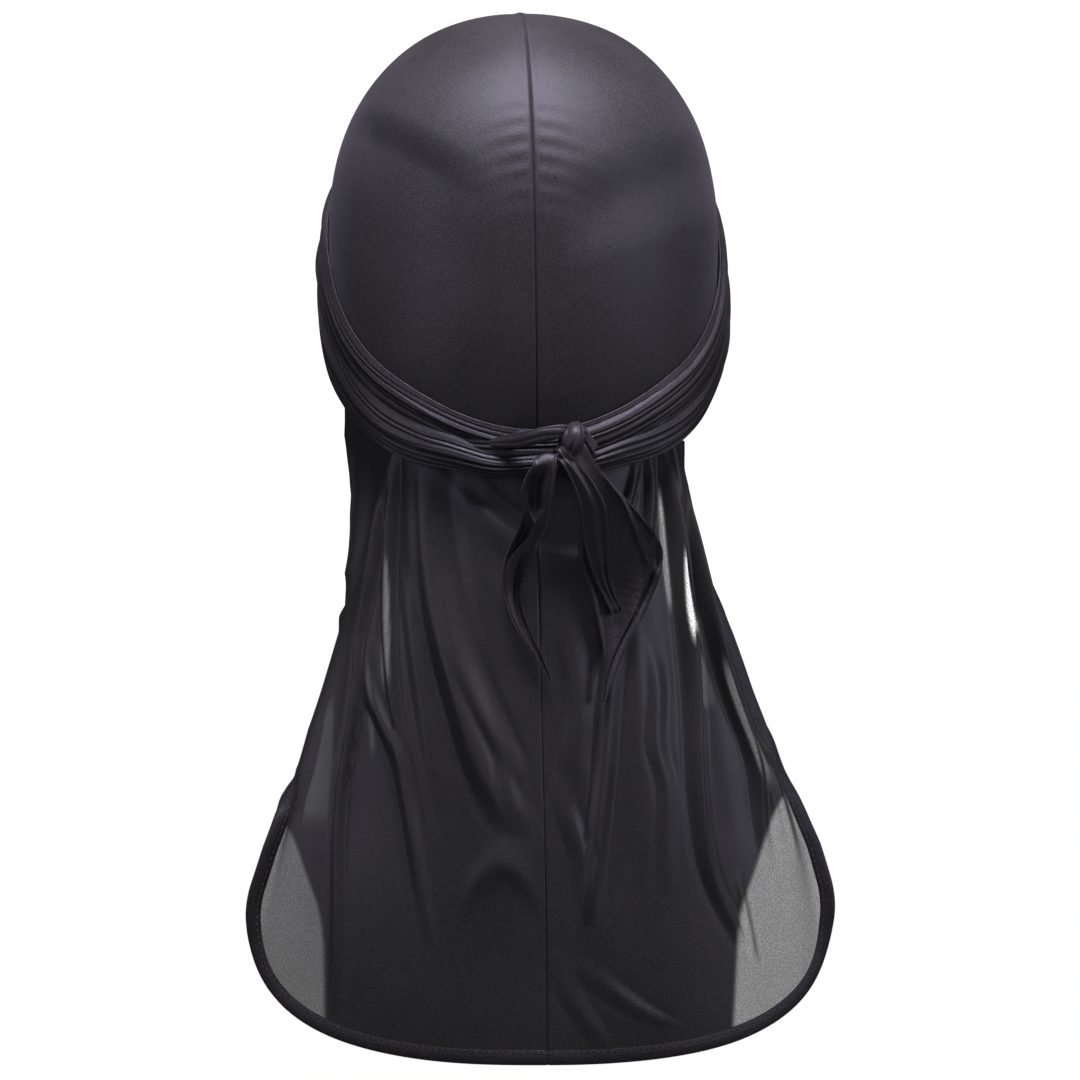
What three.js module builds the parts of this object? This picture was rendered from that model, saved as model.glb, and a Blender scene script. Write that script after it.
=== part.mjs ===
// A durag in the form that it has when worn. Two crown panels meet on a centre seam, a flap of two
// panels hangs from their back edge, and two straps go round the head, knot at the nape and end in
// two hanging tails. Millimetres and degrees, +Z up, the wearer faces +Y and has +X on the right.
// The origin is the centre of the head's hollow, level with its widest place.
import * as THREE from "three";

// Driving dimensions.
const CLOTH = 1.2; // wall of one layer of satin
const GAP = 0.3; // clearance between neighbouring pieces
const HEAD = { halfWidth: 76, halfLength: 94, rise: 87.8, drop: 145, fullness: 2.22 };
const WORN_LEAN = 1; // the crown leans this far to the wearer's left
const WRAP = { sideHeight: -19, slope: 0.72 }; // the tilted plane that the straps follow
const CROWN = { backRise: -2, frontRise: -27, sideFrom: 72, sideTo: 140, rows: 13, columns: 20 };
const SEAM = { dent: 1, dentReach: 7, width: 4.6, thick: 0.8, stations: 26 };
const FRONT_HEM = { from: 98, width: 5.5, thick: 1.6, stations: 24 };
const STRAP = { clear: 0.7, thick: 1.4, pleat: 0.8, pitch: 2.6, columns: 6, step: 8 };
const STRAP_END = { left: -345, right: -338 }; // bearings at which the straps enter the knot
const FLAP = { bearingLeft: 76, bearingRight: 46, topGap: 0.6, tuckPast: 3.5, tuckShare: 0.1 };
const FLAP_GRID = { columns: 22, rows: 17, tuckRows: 2 };
const HEM_LINE = { centreX: 4.5, halfWidth: 108.5, widestZ: -258, depth: 51, fullness: 3.25 };
const HEM_DEPTH = { centreY: -97, edgeY: -52 };
const HEM = { width: 5.2, thick: 2, from: 0.105, sideStations: 16 };
const KNOT = { x: 7, z: -84, stand: 15.8, stations: 28, sides: 5, startGap: 0.6, lift: 0.7 };
const TAIL = { thick: 1.5, stand: 2, fall: 42, fold: 1.8, columns: 4 };

// How the flap's side edges leave the wrap and reach their widest place.
const FLAP_EDGES = {
  left: { leaveX: 11, leaveDrop: 84, arriveX: 17, arriveRise: 47 },
  right: { leaveX: 5, leaveDrop: 55, arriveX: -9, arriveRise: 28 },
};
const FLAP_MIDDLE = { leaveY: -7, leaveDrop: 60, arriveRise: 80 };

// The flap's folds. "top" and "hem" are places across it, from -1 on the left to 1 on the right,
// and the widths are in the same measure. A fold starts, peaks and ends at shares of the drop.
const FOLDS = [
  { top: -0.9, hem: -0.86, topWidth: 0.055, hemWidth: 0.07, height: 8, start: 0.1, peak: 0.45, end: 1.3 },
  { top: -0.74, hem: -0.66, topWidth: 0.05, hemWidth: 0.07, height: 8.5, start: 0.1, peak: 0.4, end: 1.15 },
  { top: -0.58, hem: -0.44, topWidth: 0.08, hemWidth: 0.12, height: 5, start: 0.12, peak: 0.45, end: 0.95 },
  { top: -0.4, hem: -0.16, topWidth: 0.1, hemWidth: 0.16, height: 3.5, start: 0.14, peak: 0.5, end: 0.95 },
  { top: 0.1, hem: 0.2, topWidth: 0.16, hemWidth: 0.16, height: 2.5, start: 0.4, peak: 0.75, end: 1.2 },
  { top: 0.56, hem: 0.46, topWidth: 0.07, hemWidth: 0.12, height: 5, start: 0.12, peak: 0.45, end: 1 },
  { top: 0.72, hem: 0.66, topWidth: 0.055, hemWidth: 0.07, height: 9, start: 0.1, peak: 0.4, end: 1.15 },
  { top: 0.87, hem: 0.86, topWidth: 0.055, hemWidth: 0.065, height: 9, start: 0.1, peak: 0.42, end: 1.2 },
];
// The swag of slack cloth just under the wrap, between the two gathers.
const SWAG = { halfWidth: 0.5, at: 0.3, sag: 0.1, reach: 0.045, height: 4 };

// A strap's way round the head from its own temple, over the nape, the other ear and the forehead
// and back to the nape. Bearings run from the back of the head and are positive on the strap's own
// side, "rise" is the height above the wrap's plane, and the layers count outwards.
const STRAP_ROUTE = [
  { bearing: 126, rise: -12, width: 20, layerLeft: 0, layerRight: 0 },
  { bearing: 90, rise: -11, width: 25, layerLeft: 0, layerRight: 0 },
  { bearing: 62, rise: -10, width: 22, layerLeft: 0, layerRight: 0 },
  { bearing: 40, rise: -7, width: 17, layerLeft: 1, layerRight: 0 },
  { bearing: 0, rise: 1, width: 13, layerLeft: 1, layerRight: 0 },
  { bearing: -40, rise: 9, width: 13, layerLeft: 1, layerRight: 0 },
  { bearing: -90, rise: 12.5, width: 18, layerLeft: 0, layerRight: 0 },
  { bearing: -145, rise: 11, width: 17, layerLeft: 0.4, layerRight: 0 },
  { bearing: -158, rise: 7, width: 16, layerLeft: 1, layerRight: 0 },
  { bearing: -202, rise: -7, width: 16, layerLeft: 1, layerRight: 0 },
  { bearing: -215, rise: -11, width: 18, layerLeft: 1, layerRight: 0.4 },
  { bearing: -228, rise: -11.5, width: 21, layerLeft: 1, layerRight: 1 },
  { bearing: -270, rise: -11, width: 25, layerLeft: 1, layerRight: 1 },
  { bearing: -298, rise: -9.5, width: 21, layerLeft: 1, layerRight: 1 },
  { bearing: -318, rise: -7, width: 15, layerLeft: 2, layerRight: 2 },
  { bearing: -345, rise: -4, width: 9, layerLeft: 2, layerRight: 2 },
];

// The knot's two halves about its centre: x to the right, z up and "out" away from the head, with
// the section's half breadth and half thickness and the turn of its broad side. Each half starts
// from the end of its strap.
const KNOT_LEFT = [
  { x: -14, z: -1.2, out: -5.4, half: 3.8, thick: 1.6, twist: 0 },
  { x: -4, z: 1.5, out: -6.2, half: 3.6, thick: 2.3, twist: 0 },
  { x: 4.5, z: 1.5, out: -5.6, half: 3, thick: 2.4, twist: 0 },
  { x: 8, z: 1.5, out: 0, half: 3, thick: 2.4, twist: 0 },
  { x: 4.5, z: 1.9, out: 5.6, half: 3.8, thick: 2.4, twist: 0 },
  { x: -1, z: 2, out: 6.6, half: 5.4, thick: 2.5, twist: 0 },
  { x: -8, z: 0, out: 6.4, half: 5.2, thick: 2.5, twist: 0 },
  { x: -13, z: -5, out: 5.2, half: 4.6, thick: 2.2, twist: 0 },
  { x: -14.5, z: -14, out: 2, half: 4.2, thick: 1.2, twist: 0 },
];
const KNOT_RIGHT = [
  { x: 18, z: 0, out: -5.8, half: 4, thick: 1.5, twist: 80 },
  { x: 11, z: -4.8, out: -3.4, half: 3.6, thick: 2, twist: 45 },
  { x: 3, z: -5.4, out: -0.4, half: 3.3, thick: 2.3, twist: 0 },
  { x: -5, z: -4.9, out: 0, half: 3.2, thick: 2.4, twist: 0 },
  { x: -10, z: 1.5, out: 0, half: 3, thick: 2.4, twist: 0 },
  { x: -5, z: 8.3, out: 0, half: 3.4, thick: 2.5, twist: 0 },
  { x: 4, z: 9.2, out: 1, half: 4.2, thick: 2.6, twist: 10 },
  { x: 11, z: 7, out: 4, half: 4.2, thick: 2.5, twist: 35 },
  { x: 15, z: -1, out: 6, half: 4.6, thick: 2.2, twist: 65 },
  { x: 15, z: -12, out: 4, half: 4.8, thick: 1.2, twist: 90 },
];

// The tails as they lie on the flap: the middle of each section, its half widths on the wearer's
// left and right, and how far the section's own fold swings its left edge off the flap.
const TAIL_LEFT = [
  { x: -7.5, z: -99.2, left: 4, right: 4.4, swing: 0 },
  { x: -8.5, z: -107, left: 5, right: 6.5, swing: 1 },
  { x: -9, z: -122, left: 5, right: 7, swing: 2.5 },
  { x: -11, z: -133, left: 3, right: 5, swing: 3 },
  { x: -11, z: -142, left: 2.5, right: 3.5, swing: 1.5 },
  { x: -6, z: -157, left: 3.5, right: 3.5, swing: 0.5 },
  { x: 1, z: -168, left: 3, right: 2.5, swing: 0 },
  { x: 6, z: -175, left: 1.2, right: 1, swing: 0 },
];
const TAIL_RIGHT = [
  { x: 22, z: -98, left: 4.6, right: 4.6, swing: 0 },
  { x: 25, z: -107, left: 8, right: 7, swing: 1 },
  { x: 30, z: -119, left: 11, right: 12, swing: 2 },
  { x: 34, z: -131, left: 13, right: 15, swing: 2 },
  { x: 34, z: -142, left: 11, right: 13, swing: 1.5 },
  { x: 32, z: -156, left: 6, right: 9, swing: 1 },
  { x: 29, z: -170, left: 3, right: 5.5, swing: 0.5 },
  { x: 27, z: -184, left: 1.4, right: 1.6, swing: 0 },
];

const satin = new THREE.MeshStandardMaterial({ color: 0x2a272e, roughness: 0.42, metalness: 0 });
const foldedSatin = new THREE.MeshStandardMaterial({ color: 0x211f25, roughness: 0.5, metalness: 0 });
const thread = new THREE.MeshStandardMaterial({ color: 0x17161a, roughness: 0.8, metalness: 0 });

const radians = THREE.MathUtils.degToRad;
const mix = THREE.MathUtils.lerp;
const ease = THREE.MathUtils.smoothstep;
const point = (x, y, z) => new THREE.Vector3(x, y, z);
const shares = (count) => Array.from({ length: count + 1 }, (_, k) => k / count);

// The head's form: a point on it, or "offset" outside it, in the direction of a bearing from the
// back and an angle down from the top.
function headPoint(bearing, down, offset) {
  const around = radians(bearing);
  const tilt = radians(down);
  const way = point(Math.sin(around) * Math.sin(tilt), -Math.cos(around) * Math.sin(tilt), Math.cos(tilt));
  const tall = way.z > 0 ? HEAD.rise : HEAD.drop;
  const sizes = [way.x / HEAD.halfWidth, way.y / HEAD.halfLength, way.z / tall];
  const sum = sizes.reduce((total, size) => total + Math.abs(size) ** HEAD.fullness, 0);
  return way.multiplyScalar(sum ** (-1 / HEAD.fullness) + offset);
}

// The angle down from the top at which the head's form lies "rise" above the wrap's plane.
function downTo(bearing, rise) {
  let [low, high] = [40, 150];
  for (let step = 0; step < 40; step += 1) {
    const middle = (low + high) / 2;
    const at = headPoint(bearing, middle, 0);
    if (at.z > WRAP.sideHeight + WRAP.slope * at.y + rise) low = middle;
    else high = middle;
  }
  return (low + high) / 2;
}

const wrapPoint = (bearing, rise, offset) => headPoint(bearing, downTo(bearing, rise), offset);
const leaned = (place) => place.applyAxisAngle(point(0, 1, 0), radians(-WORN_LEAN));

// A closed wall between two grids of points. As seen from outside, rows run down and columns right.
function wall(name, material, outer, inner) {
  const last = outer.length - 1;
  const end = outer[0].length - 1;
  const places = [];
  const triangle = (a, b, c) => {
    const flat = a.distanceTo(b) < 1e-6 || b.distanceTo(c) < 1e-6 || c.distanceTo(a) < 1e-6;
    if (!flat) places.push(a, b, c);
  };
  const quad = (a, b, c, d) => {
    triangle(a, b, c);
    triangle(a, c, d);
  };
  for (let r = 0; r < last; r += 1) {
    for (let c = 0; c < end; c += 1) {
      quad(outer[r][c], outer[r + 1][c], outer[r + 1][c + 1], outer[r][c + 1]);
      quad(inner[r][c], inner[r][c + 1], inner[r + 1][c + 1], inner[r + 1][c]);
    }
    quad(outer[r + 1][0], outer[r][0], inner[r][0], inner[r + 1][0]);
    quad(outer[r][end], outer[r + 1][end], inner[r + 1][end], inner[r][end]);
  }
  for (let c = 0; c < end; c += 1) {
    quad(outer[0][c], outer[0][c + 1], inner[0][c + 1], inner[0][c]);
    quad(outer[last][c + 1], outer[last][c], inner[last][c], inner[last][c + 1]);
  }
  const mesh = new THREE.Mesh(new THREE.BufferGeometry().setFromPoints(places), material);
  mesh.name = name;
  return mesh;
}

// Crown: each panel is half a dome from the seam to the rim, which dips under the wrap at the back
// and reaches below it on the forehead. Columns crowd towards the seam, where the cloth dents.
const crownRise = (bearing) =>
  mix(CROWN.backRise, CROWN.frontRise, ease(Math.abs(bearing), CROWN.sideFrom, CROWN.sideTo));

function crownPanel(name, side) {
  const face = (offset) =>
    shares(CROWN.rows).map((share) =>
      shares(CROWN.columns).map((place) => {
        const turn = mix(180 * place, 90 * (1 - Math.cos(Math.PI * place)), 0.6);
        const bearing = side > 0 ? turn : turn - 180;
        const at = headPoint(bearing, share * downTo(bearing, crownRise(bearing)), offset);
        const dent = SEAM.dent * Math.exp(-((at.x / SEAM.dentReach) ** 2));
        at.setLength(at.length() - dent);
        at.x += side * GAP;
        return at;
      }),
    );
  return wall(name, satin, face(CLOTH), face(0));
}

// Crown seam: the two panels' sewn edges, pressed to the right inside the crown.
function crownSeam() {
  const back = downTo(0, crownRise(0)) - 1;
  const front = downTo(180, crownRise(180)) - 1;
  const face = (offset) =>
    [0, 1].map((across) =>
      shares(SEAM.stations).map((share) => {
        const down = mix(back, -front, share);
        const at = headPoint(down > 0 ? 0 : 180, Math.abs(down), offset - SEAM.dent);
        at.x = mix(-1, SEAM.width - 1, across);
        return at;
      }),
    );
  return wall("crown_seam", thread, face(-2 * GAP), face(-2 * GAP - SEAM.thick));
}

// Front hem: the turned edge of the crown across the forehead, from temple to temple.
function frontHem() {
  const face = (offset) =>
    [0, 1].map((across) =>
      shares(FRONT_HEM.stations).map((share) => {
        const bearing = mix(FRONT_HEM.from, 360 - FRONT_HEM.from, share);
        const rim = crownRise(bearing > 180 ? bearing - 360 : bearing);
        const rise = rim - 2 * GAP - across * FRONT_HEM.width;
        return wrapPoint(bearing, rise, CLOTH / 2 + offset);
      }),
    );
  return wall("front_hem", foldedSatin, face(FRONT_HEM.thick / 2), face(-FRONT_HEM.thick / 2));
}

// Straps: flat pleated ribbons that lie on the head in layers.
const strapRow = (bearing) => {
  const turn = Math.max(bearing, STRAP_ROUTE[STRAP_ROUTE.length - 1].bearing);
  const next = Math.max(1, STRAP_ROUTE.findIndex((row) => row.bearing <= turn));
  const [from, to] = [STRAP_ROUTE[next - 1], STRAP_ROUTE[next]];
  const share = ease((from.bearing - turn) / (from.bearing - to.bearing), 0, 1);
  const column = (name) => mix(from[name], to[name], share);
  const [left, right] = [column("layerLeft"), column("layerRight")];
  return { rise: column("rise"), width: column("width"), left, right };
};

function strap(name, side) {
  const first = STRAP_ROUTE[0].bearing;
  const turns = (side < 0 ? STRAP_END.left : STRAP_END.right) - first;
  const stations = shares(Math.round(-turns / STRAP.step)).map((share) => first + share * turns);
  const face = (outside) =>
    shares(STRAP.columns).map((across, column) => {
      const row = stations.map((bearing) => {
        const { rise, width, left, right } = strapRow(bearing);
        const floor = CLOTH + STRAP.clear + STRAP.pitch * (side < 0 ? left : right);
        const cover = outside ? STRAP.thick + STRAP.pleat * (column % 2) : 0;
        return wrapPoint(side * bearing, rise + width * (0.5 - across), floor + cover);
      });
      return side < 0 ? row : row.reverse();
    });
  return wall(name, foldedSatin, face(true), face(false));
}

// Flap: fan lines run from under the wrap to the hem line, and folds stand on them.
function hemPoint(u) {
  const around = radians(90 * u);
  const sizes = [Math.sin(around) / HEM_LINE.halfWidth, Math.cos(around) / HEM_LINE.depth];
  const sum = sizes.reduce((total, size) => total + Math.abs(size) ** HEM_LINE.fullness, 0);
  const reach = sum ** (-1 / HEM_LINE.fullness);
  const across = reach * Math.sin(around);
  const depth = mix(HEM_DEPTH.centreY, HEM_DEPTH.edgeY, (across / HEM_LINE.halfWidth) ** 2);
  return point(HEM_LINE.centreX + across, depth, HEM_LINE.widestZ - reach * Math.cos(around));
}

// The lowest rise that the straps cover at a bearing, on their first and their last time round.
const strapFoot = (bearing) => {
  const rows = [bearing, bearing - 360].map((turn) => strapRow(turn));
  return Math.min(...rows.map((row) => row.rise - row.width / 2));
};

// The flap's smooth middle surface, without its folds: v runs from its top edge to the hem line.
function smoothFlap(u, v) {
  const bearing = u * (u < 0 ? FLAP.bearingLeft : FLAP.bearingRight);
  const under = Math.min(v / FLAP.tuckShare, 1);
  const top = CROWN.backRise - FLAP.topGap;
  const foot = strapFoot(Math.abs(bearing)) - FLAP.tuckPast;
  const start = leaned(wrapPoint(bearing, mix(top, foot, under), CLOTH / 2));
  if (v <= FLAP.tuckShare) return start;
  const end = hemPoint(u);
  const edge = u < 0 ? FLAP_EDGES.left : FLAP_EDGES.right;
  const side = Math.abs(u) ** 3;
  const drop = mix(FLAP_MIDDLE.leaveDrop, edge.leaveDrop, side);
  const leave = point(edge.leaveX * side, FLAP_MIDDLE.leaveY, -drop);
  const arrive = point(edge.arriveX * side, 0, mix(FLAP_MIDDLE.arriveRise, edge.arriveRise, side));
  const line = new THREE.CubicBezierCurve3(start, leave.add(start), arrive.add(end), end);
  return line.getPoint((v - FLAP.tuckShare) / (1 - FLAP.tuckShare));
}

function foldHeight(u, v) {
  const folds = FOLDS.map((fold) => {
    const off = (u - mix(fold.top, fold.hem, v)) / mix(fold.topWidth, fold.hemWidth, v);
    const grown = ease(v, fold.start, fold.peak) * (1 - ease(v, fold.peak, fold.end));
    return fold.height * grown * Math.exp(-off * off);
  });
  const middle = Math.max(0, 1 - (u / SWAG.halfWidth) ** 2);
  const swagAt = (v - SWAG.at - SWAG.sag * (middle - 1)) / SWAG.reach;
  const swag = SWAG.height * middle * Math.exp(-swagAt * swagAt);
  return folds.reduce((total, height) => total + height, swag);
}

// A point on the flap, "offset" outside its middle surface.
function flapPoint(u, v, offset) {
  const step = 0.004;
  const [a, b] = [Math.max(-1, u - step), Math.min(1, u + step)];
  const [c, d] = [Math.max(0, v - step), Math.min(1, v + step)];
  const across = (place) => smoothFlap(b, v).sub(smoothFlap(a, v)).cross(place).normalize();
  const outward = across(smoothFlap(u, c).sub(smoothFlap(u, d))).negate();
  const folded = (at, to) => smoothFlap(at, to).addScaledVector(outward, foldHeight(at, to));
  const right = folded(b, v).sub(folded(a, v));
  const normal = right.cross(folded(u, d).sub(folded(u, c))).normalize().negate();
  return folded(u, v).addScaledVector(normal, offset);
}

const flapRows = [
  ...shares(FLAP_GRID.tuckRows).map((share) => share * FLAP.tuckShare),
  ...shares(FLAP_GRID.rows).slice(1).map((share) => mix(FLAP.tuckShare, 1, share)),
];

// Columns of one panel from the seam to its side edge, closer together among the side folds.
const flapColumns = shares(FLAP_GRID.columns).map((share) => 1 - (1 - share) ** 1.35);

function flapPanel(name, side) {
  const columns = side > 0 ? flapColumns : flapColumns.map((u) => -u).reverse();
  const face = (offset) =>
    flapRows.map((v) =>
      columns.map((u) => {
        const at = flapPoint(u, v, offset);
        at.x += side * GAP;
        return at;
      }),
    );
  return wall(name, satin, face(CLOTH / 2), face(-CLOTH / 2));
}

// Flap seam: the panels' sewn edges, inside the flap from the wrap to the hem.
function flapSeam() {
  const rows = shares(FLAP_GRID.rows).map((share) => mix(FLAP.tuckShare, 0.985, share));
  const face = (offset) =>
    rows.map((v) =>
      [-1, SEAM.width - 1].map((x) => {
        const at = flapPoint(0, v, offset - CLOTH / 2 - 2 * GAP);
        at.x += x;
        return at;
      }),
    );
  return wall("flap_seam", thread, face(0), face(-SEAM.thick));
}

// Flap hem: a doubled strip along both side edges and the rounded bottom edge.
function flapHem() {
  const sides = shares(HEM.sideStations).map((share) => mix(HEM.from, 1, share));
  const bottom = flapColumns.map((u) => -u).reverse().concat(flapColumns.slice(1));
  const border = [
    ...sides.slice(0, -1).map((v) => [-1, v]),
    ...bottom.map((u) => [u, 1]),
    ...sides.slice(0, -1).reverse().map((v) => [1, v]),
  ];
  const edge = border.map(([u, v]) => flapPoint(u, v, 0));
  const face = (offset) =>
    [0, 1].map((across) =>
      border.map(([u, v], k) => {
        const along = edge[Math.min(k + 1, edge.length - 1)].clone().sub(edge[Math.max(k - 1, 0)]);
        const normal = flapPoint(u, v, 1).sub(edge[k]).normalize();
        const outward = along.cross(normal).normalize();
        const reach = 2 * GAP + across * HEM.width;
        return edge[k].clone().addScaledVector(outward, reach).addScaledVector(normal, offset);
      }),
    );
  return wall("flap_hem", foldedSatin, face(HEM.thick / 2), face(-HEM.thick / 2));
}

// Knot: each strap's end turns back round the other's. The left one bends in the level plane and
// the right one in the upright plane, so that each bend passes between the other's two legs.
const knotCentre = leaned(wrapPoint(0, 0, 0)).setX(KNOT.x).setZ(KNOT.z);
knotCentre.y -= KNOT.stand;

function knotHalf(name, side, route, widthways, twist) {
  const bearing = (side < 0 ? STRAP_END.left : STRAP_END.right) - KNOT.startGap;
  const end = strapRow(bearing);
  const thick = (STRAP.thick + STRAP.pleat) / 2;
  const seat = CLOTH + STRAP.clear + STRAP.pitch * (side < 0 ? end.left : end.right) + thick + KNOT.lift;
  const start = leaned(wrapPoint(side * bearing, end.rise, seat));
  const table = [{ half: end.width / 2, thick, twist }, ...route];
  const places = [start, ...route.map((row) => point(row.x, -row.out, row.z).add(knotCentre))];
  const curve = new THREE.CatmullRomCurve3(places, false, "centripetal");
  const stations = shares(KNOT.stations);
  let wide = widthways.clone();
  const sections = stations.map((share) => {
    const along = curve.getTangent(share);
    const from = Math.min(Math.floor(share * (table.length - 1)), table.length - 2);
    const column = (key) => mix(table[from][key], table[from + 1][key], share * (table.length - 1) - from);
    wide = wide.addScaledVector(along, -wide.dot(along)).normalize();
    const broad = wide.clone().applyAxisAngle(along, radians(column("twist")));
    const thin = broad.clone().cross(along);
    return { at: curve.getPoint(share), broad, thin, half: column("half"), thick: column("thick") };
  });
  const face = (sign) =>
    shares(KNOT.sides).map((across) =>
      sections.map(({ at, broad, thin, half, thick }) => {
        const turn = Math.PI * across;
        const edge = at.clone().addScaledVector(broad, half * Math.cos(turn));
        return edge.addScaledVector(thin, sign * thick * Math.sin(turn));
      }),
    );
  return wall(name, foldedSatin, face(-1), face(1));
}

// Tails: the straps' free ends. They fall from the knot and come to lie on the flap.
const flapFaces = shares(40).flatMap((share) =>
  shares(60).map((v) => flapPoint(mix(-0.6, 0.6, share), v, CLOTH / 2)),
);

function flapFace(x, z) {
  const off = (at) => (at.x - x) ** 2 + (at.z - z) ** 2;
  return flapFaces.reduce((best, at) => (off(at) < off(best) ? at : best)).y;
}

function tail(name, table, knotY) {
  const face = (offset) =>
    table.map((row, k) => {
      const [before, after] = [table[Math.max(k - 1, 0)], table[Math.min(k + 1, table.length - 1)]];
      const along = point(after.x - before.x, 0, after.z - before.z).normalize();
      const fallen = ease(table[0].z - row.z, 0, TAIL.fall);
      return shares(TAIL.columns).map((share) => {
        const across = mix(-row.left, row.right, share);
        const [x, z] = [row.x - along.z * across, row.z + along.x * across];
        const ridge = TAIL.fold * Math.sin(Math.PI * share) * Math.min(1, row.right / 5);
        const out = ridge + row.swing * (1 - share) + offset;
        return point(x, mix(knotY, flapFace(x, z) - TAIL.stand, fallen) - out, z);
      });
    });
  return wall(name, foldedSatin, face(TAIL.thick), face(0));
}

const knotLeft = knotHalf("knot_left", -1, KNOT_LEFT, point(0, 0, 1), 0);
const knotRight = knotHalf("knot_right", 1, KNOT_RIGHT, point(0, 1, 0), 90);
const knotEnd = (table) => knotCentre.y - table[table.length - 1].out;

const crown = new THREE.Group();
crown.rotation.y = radians(-WORN_LEAN);
crown.add(crownPanel("crown_left", -1), crownPanel("crown_right", 1), crownSeam(), frontHem());
crown.add(strap("strap_left", -1), strap("strap_right", 1));

const durag = new THREE.Group();
durag.add(crown, flapPanel("flap_left", -1), flapPanel("flap_right", 1), flapSeam(), flapHem());
durag.add(knotLeft, knotRight);
durag.add(tail("tail_left", TAIL_LEFT, knotEnd(KNOT_LEFT)));
durag.add(tail("tail_right", TAIL_RIGHT, knotEnd(KNOT_RIGHT)));

export default durag;
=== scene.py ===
# A durag of black polyester satin, in the form that it has when worn and tied at the nape.
import math

import bmesh
import bpy
import numpy as np
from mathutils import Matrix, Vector, kdtree


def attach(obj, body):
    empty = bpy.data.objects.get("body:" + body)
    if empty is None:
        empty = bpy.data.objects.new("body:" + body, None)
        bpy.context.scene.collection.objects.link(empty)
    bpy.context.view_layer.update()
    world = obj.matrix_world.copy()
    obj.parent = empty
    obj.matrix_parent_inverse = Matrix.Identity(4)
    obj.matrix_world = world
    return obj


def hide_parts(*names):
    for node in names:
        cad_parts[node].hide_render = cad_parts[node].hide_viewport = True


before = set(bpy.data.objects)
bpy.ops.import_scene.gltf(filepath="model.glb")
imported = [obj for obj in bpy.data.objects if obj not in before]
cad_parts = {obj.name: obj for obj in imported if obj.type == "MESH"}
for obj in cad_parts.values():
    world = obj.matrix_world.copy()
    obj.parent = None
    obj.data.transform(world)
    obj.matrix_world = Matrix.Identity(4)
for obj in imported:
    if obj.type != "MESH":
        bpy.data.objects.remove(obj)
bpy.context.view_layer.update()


# Camera
# The picture is taken from behind with a long lens, from a little to the left and a little above.
VIEW = {"azimuth": -3, "elevation": 3, "distance": 1.7, "pixels_per_metre": 2500, "picture": 1080}


def add_object(name, data):
    made = bpy.data.objects.new(name, data)
    bpy.context.collection.objects.link(made)
    return made


look_at = Vector((0.0068, 0, -0.12))
swing, lift = math.radians(VIEW["azimuth"]), math.radians(VIEW["elevation"])
towards = Vector((math.sin(swing) * math.cos(lift), -math.cos(swing) * math.cos(lift), math.sin(lift)))
lens = bpy.data.cameras.new("camera")
lens.sensor_width = 36
lens.lens = 36 * VIEW["pixels_per_metre"] * VIEW["distance"] / VIEW["picture"]
camera = add_object("camera", lens)
camera.location = look_at + VIEW["distance"] * towards
camera.rotation_euler = towards.to_track_quat("Z", "Y").to_euler()
bpy.context.scene.camera = camera


# Crown
# Two panels of thin satin, each half a dome, sewn together along the middle and stretched tight when worn.
# The seam lies in a groove, short puckers cross it at the back, and the rest is smooth.
MM = 0.001
CLOTH = 1.2
SATIN_WALL = 0.45
HEAD = {"half_width": 76, "half_length": 94, "rise": 87.8, "drop": 145, "fullness": 2.22}
WORN_LEAN = 1
WRAP = {"side_height": -19, "slope": 0.72}
CROWN = {"back_rise": -2, "front_rise": -27, "side_from": 72, "side_to": 140, "rows": 150, "columns": 170}
SEAM_GROOVE = {"depth": 0.9, "width": 0.4, "lip": 0.1, "lip_at": 1.6, "lip_width": 1, "peak": 0.7}
ALLOWANCE = {"width": 4.2, "step": 0.15}
PUCKERS = [  # degrees from the top to the pucker, its height and its reach from the seam in mm
    (53, 0.2, 11), (57.5, 0.3, 14), (62, 0.4, 17), (66.2, 0.45, 19),
    (70.6, 0.45, 20), (75, 0.4, 18), (79.5, 0.3, 15), (84.2, 0.2, 12),
]
# Broad hollows: "at", "fall" and "back" are heights in mm, and "from" and "full" distances from the seam.
DIPS = [
    {"side": 1, "slope": -0.345, "at": 12.4, "depth": 2.6, "fall": 20, "back": 22, "from": 4, "full": 26},
    {"side": -1, "slope": 0.62, "at": 8.5, "depth": 4, "fall": 19, "back": 95, "from": 12, "full": 42},
]


def ease(value, low, high):
    share = np.clip((value - low) / (high - low), 0, 1)
    return share * share * (3 - 2 * share)


def mix(a, b, share):
    return a + (b - a) * share


def bump(value, width):
    return np.exp(-((value / width) ** 2))


def head_point(bearing, down, offset):
    """Points on the worn dome, in degrees: bearing turns from the back to the right, down from the top."""
    bearing, down, offset = np.broadcast_arrays(*(np.asarray(v, float) for v in (bearing, down, offset)))
    around, tilt = np.radians(bearing), np.radians(down)
    way = np.stack([np.sin(around) * np.sin(tilt), -np.cos(around) * np.sin(tilt), np.cos(tilt)], -1)
    tall = np.where(way[..., 2] > 0, HEAD["rise"], HEAD["drop"])
    across, along, up = np.abs(way[..., 0]), np.abs(way[..., 1]), np.abs(way[..., 2])
    full = HEAD["fullness"]
    total = ((across / HEAD["half_width"]) ** full + (along / HEAD["half_length"]) ** full
             + (up / tall) ** full)
    return way * (total ** (-1 / full) + offset)[..., None]


def down_to(bearing, rise):
    """How far down from the top the dome meets the sloping plane of the wrap, raised by rise."""
    bearing, rise = np.broadcast_arrays(np.asarray(bearing, float), np.asarray(rise, float))
    low, high = np.full(bearing.shape, 40.0), np.full(bearing.shape, 150.0)
    for _ in range(32):
        middle = (low + high) / 2
        at = head_point(bearing, middle, 0)
        above = at[..., 2] > WRAP["side_height"] + WRAP["slope"] * at[..., 1] + rise
        low, high = np.where(above, middle, low), np.where(above, high, middle)
    return (low + high) / 2


def wrap_point(bearing, rise, offset):
    return head_point(bearing, down_to(bearing, rise), offset)


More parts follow.
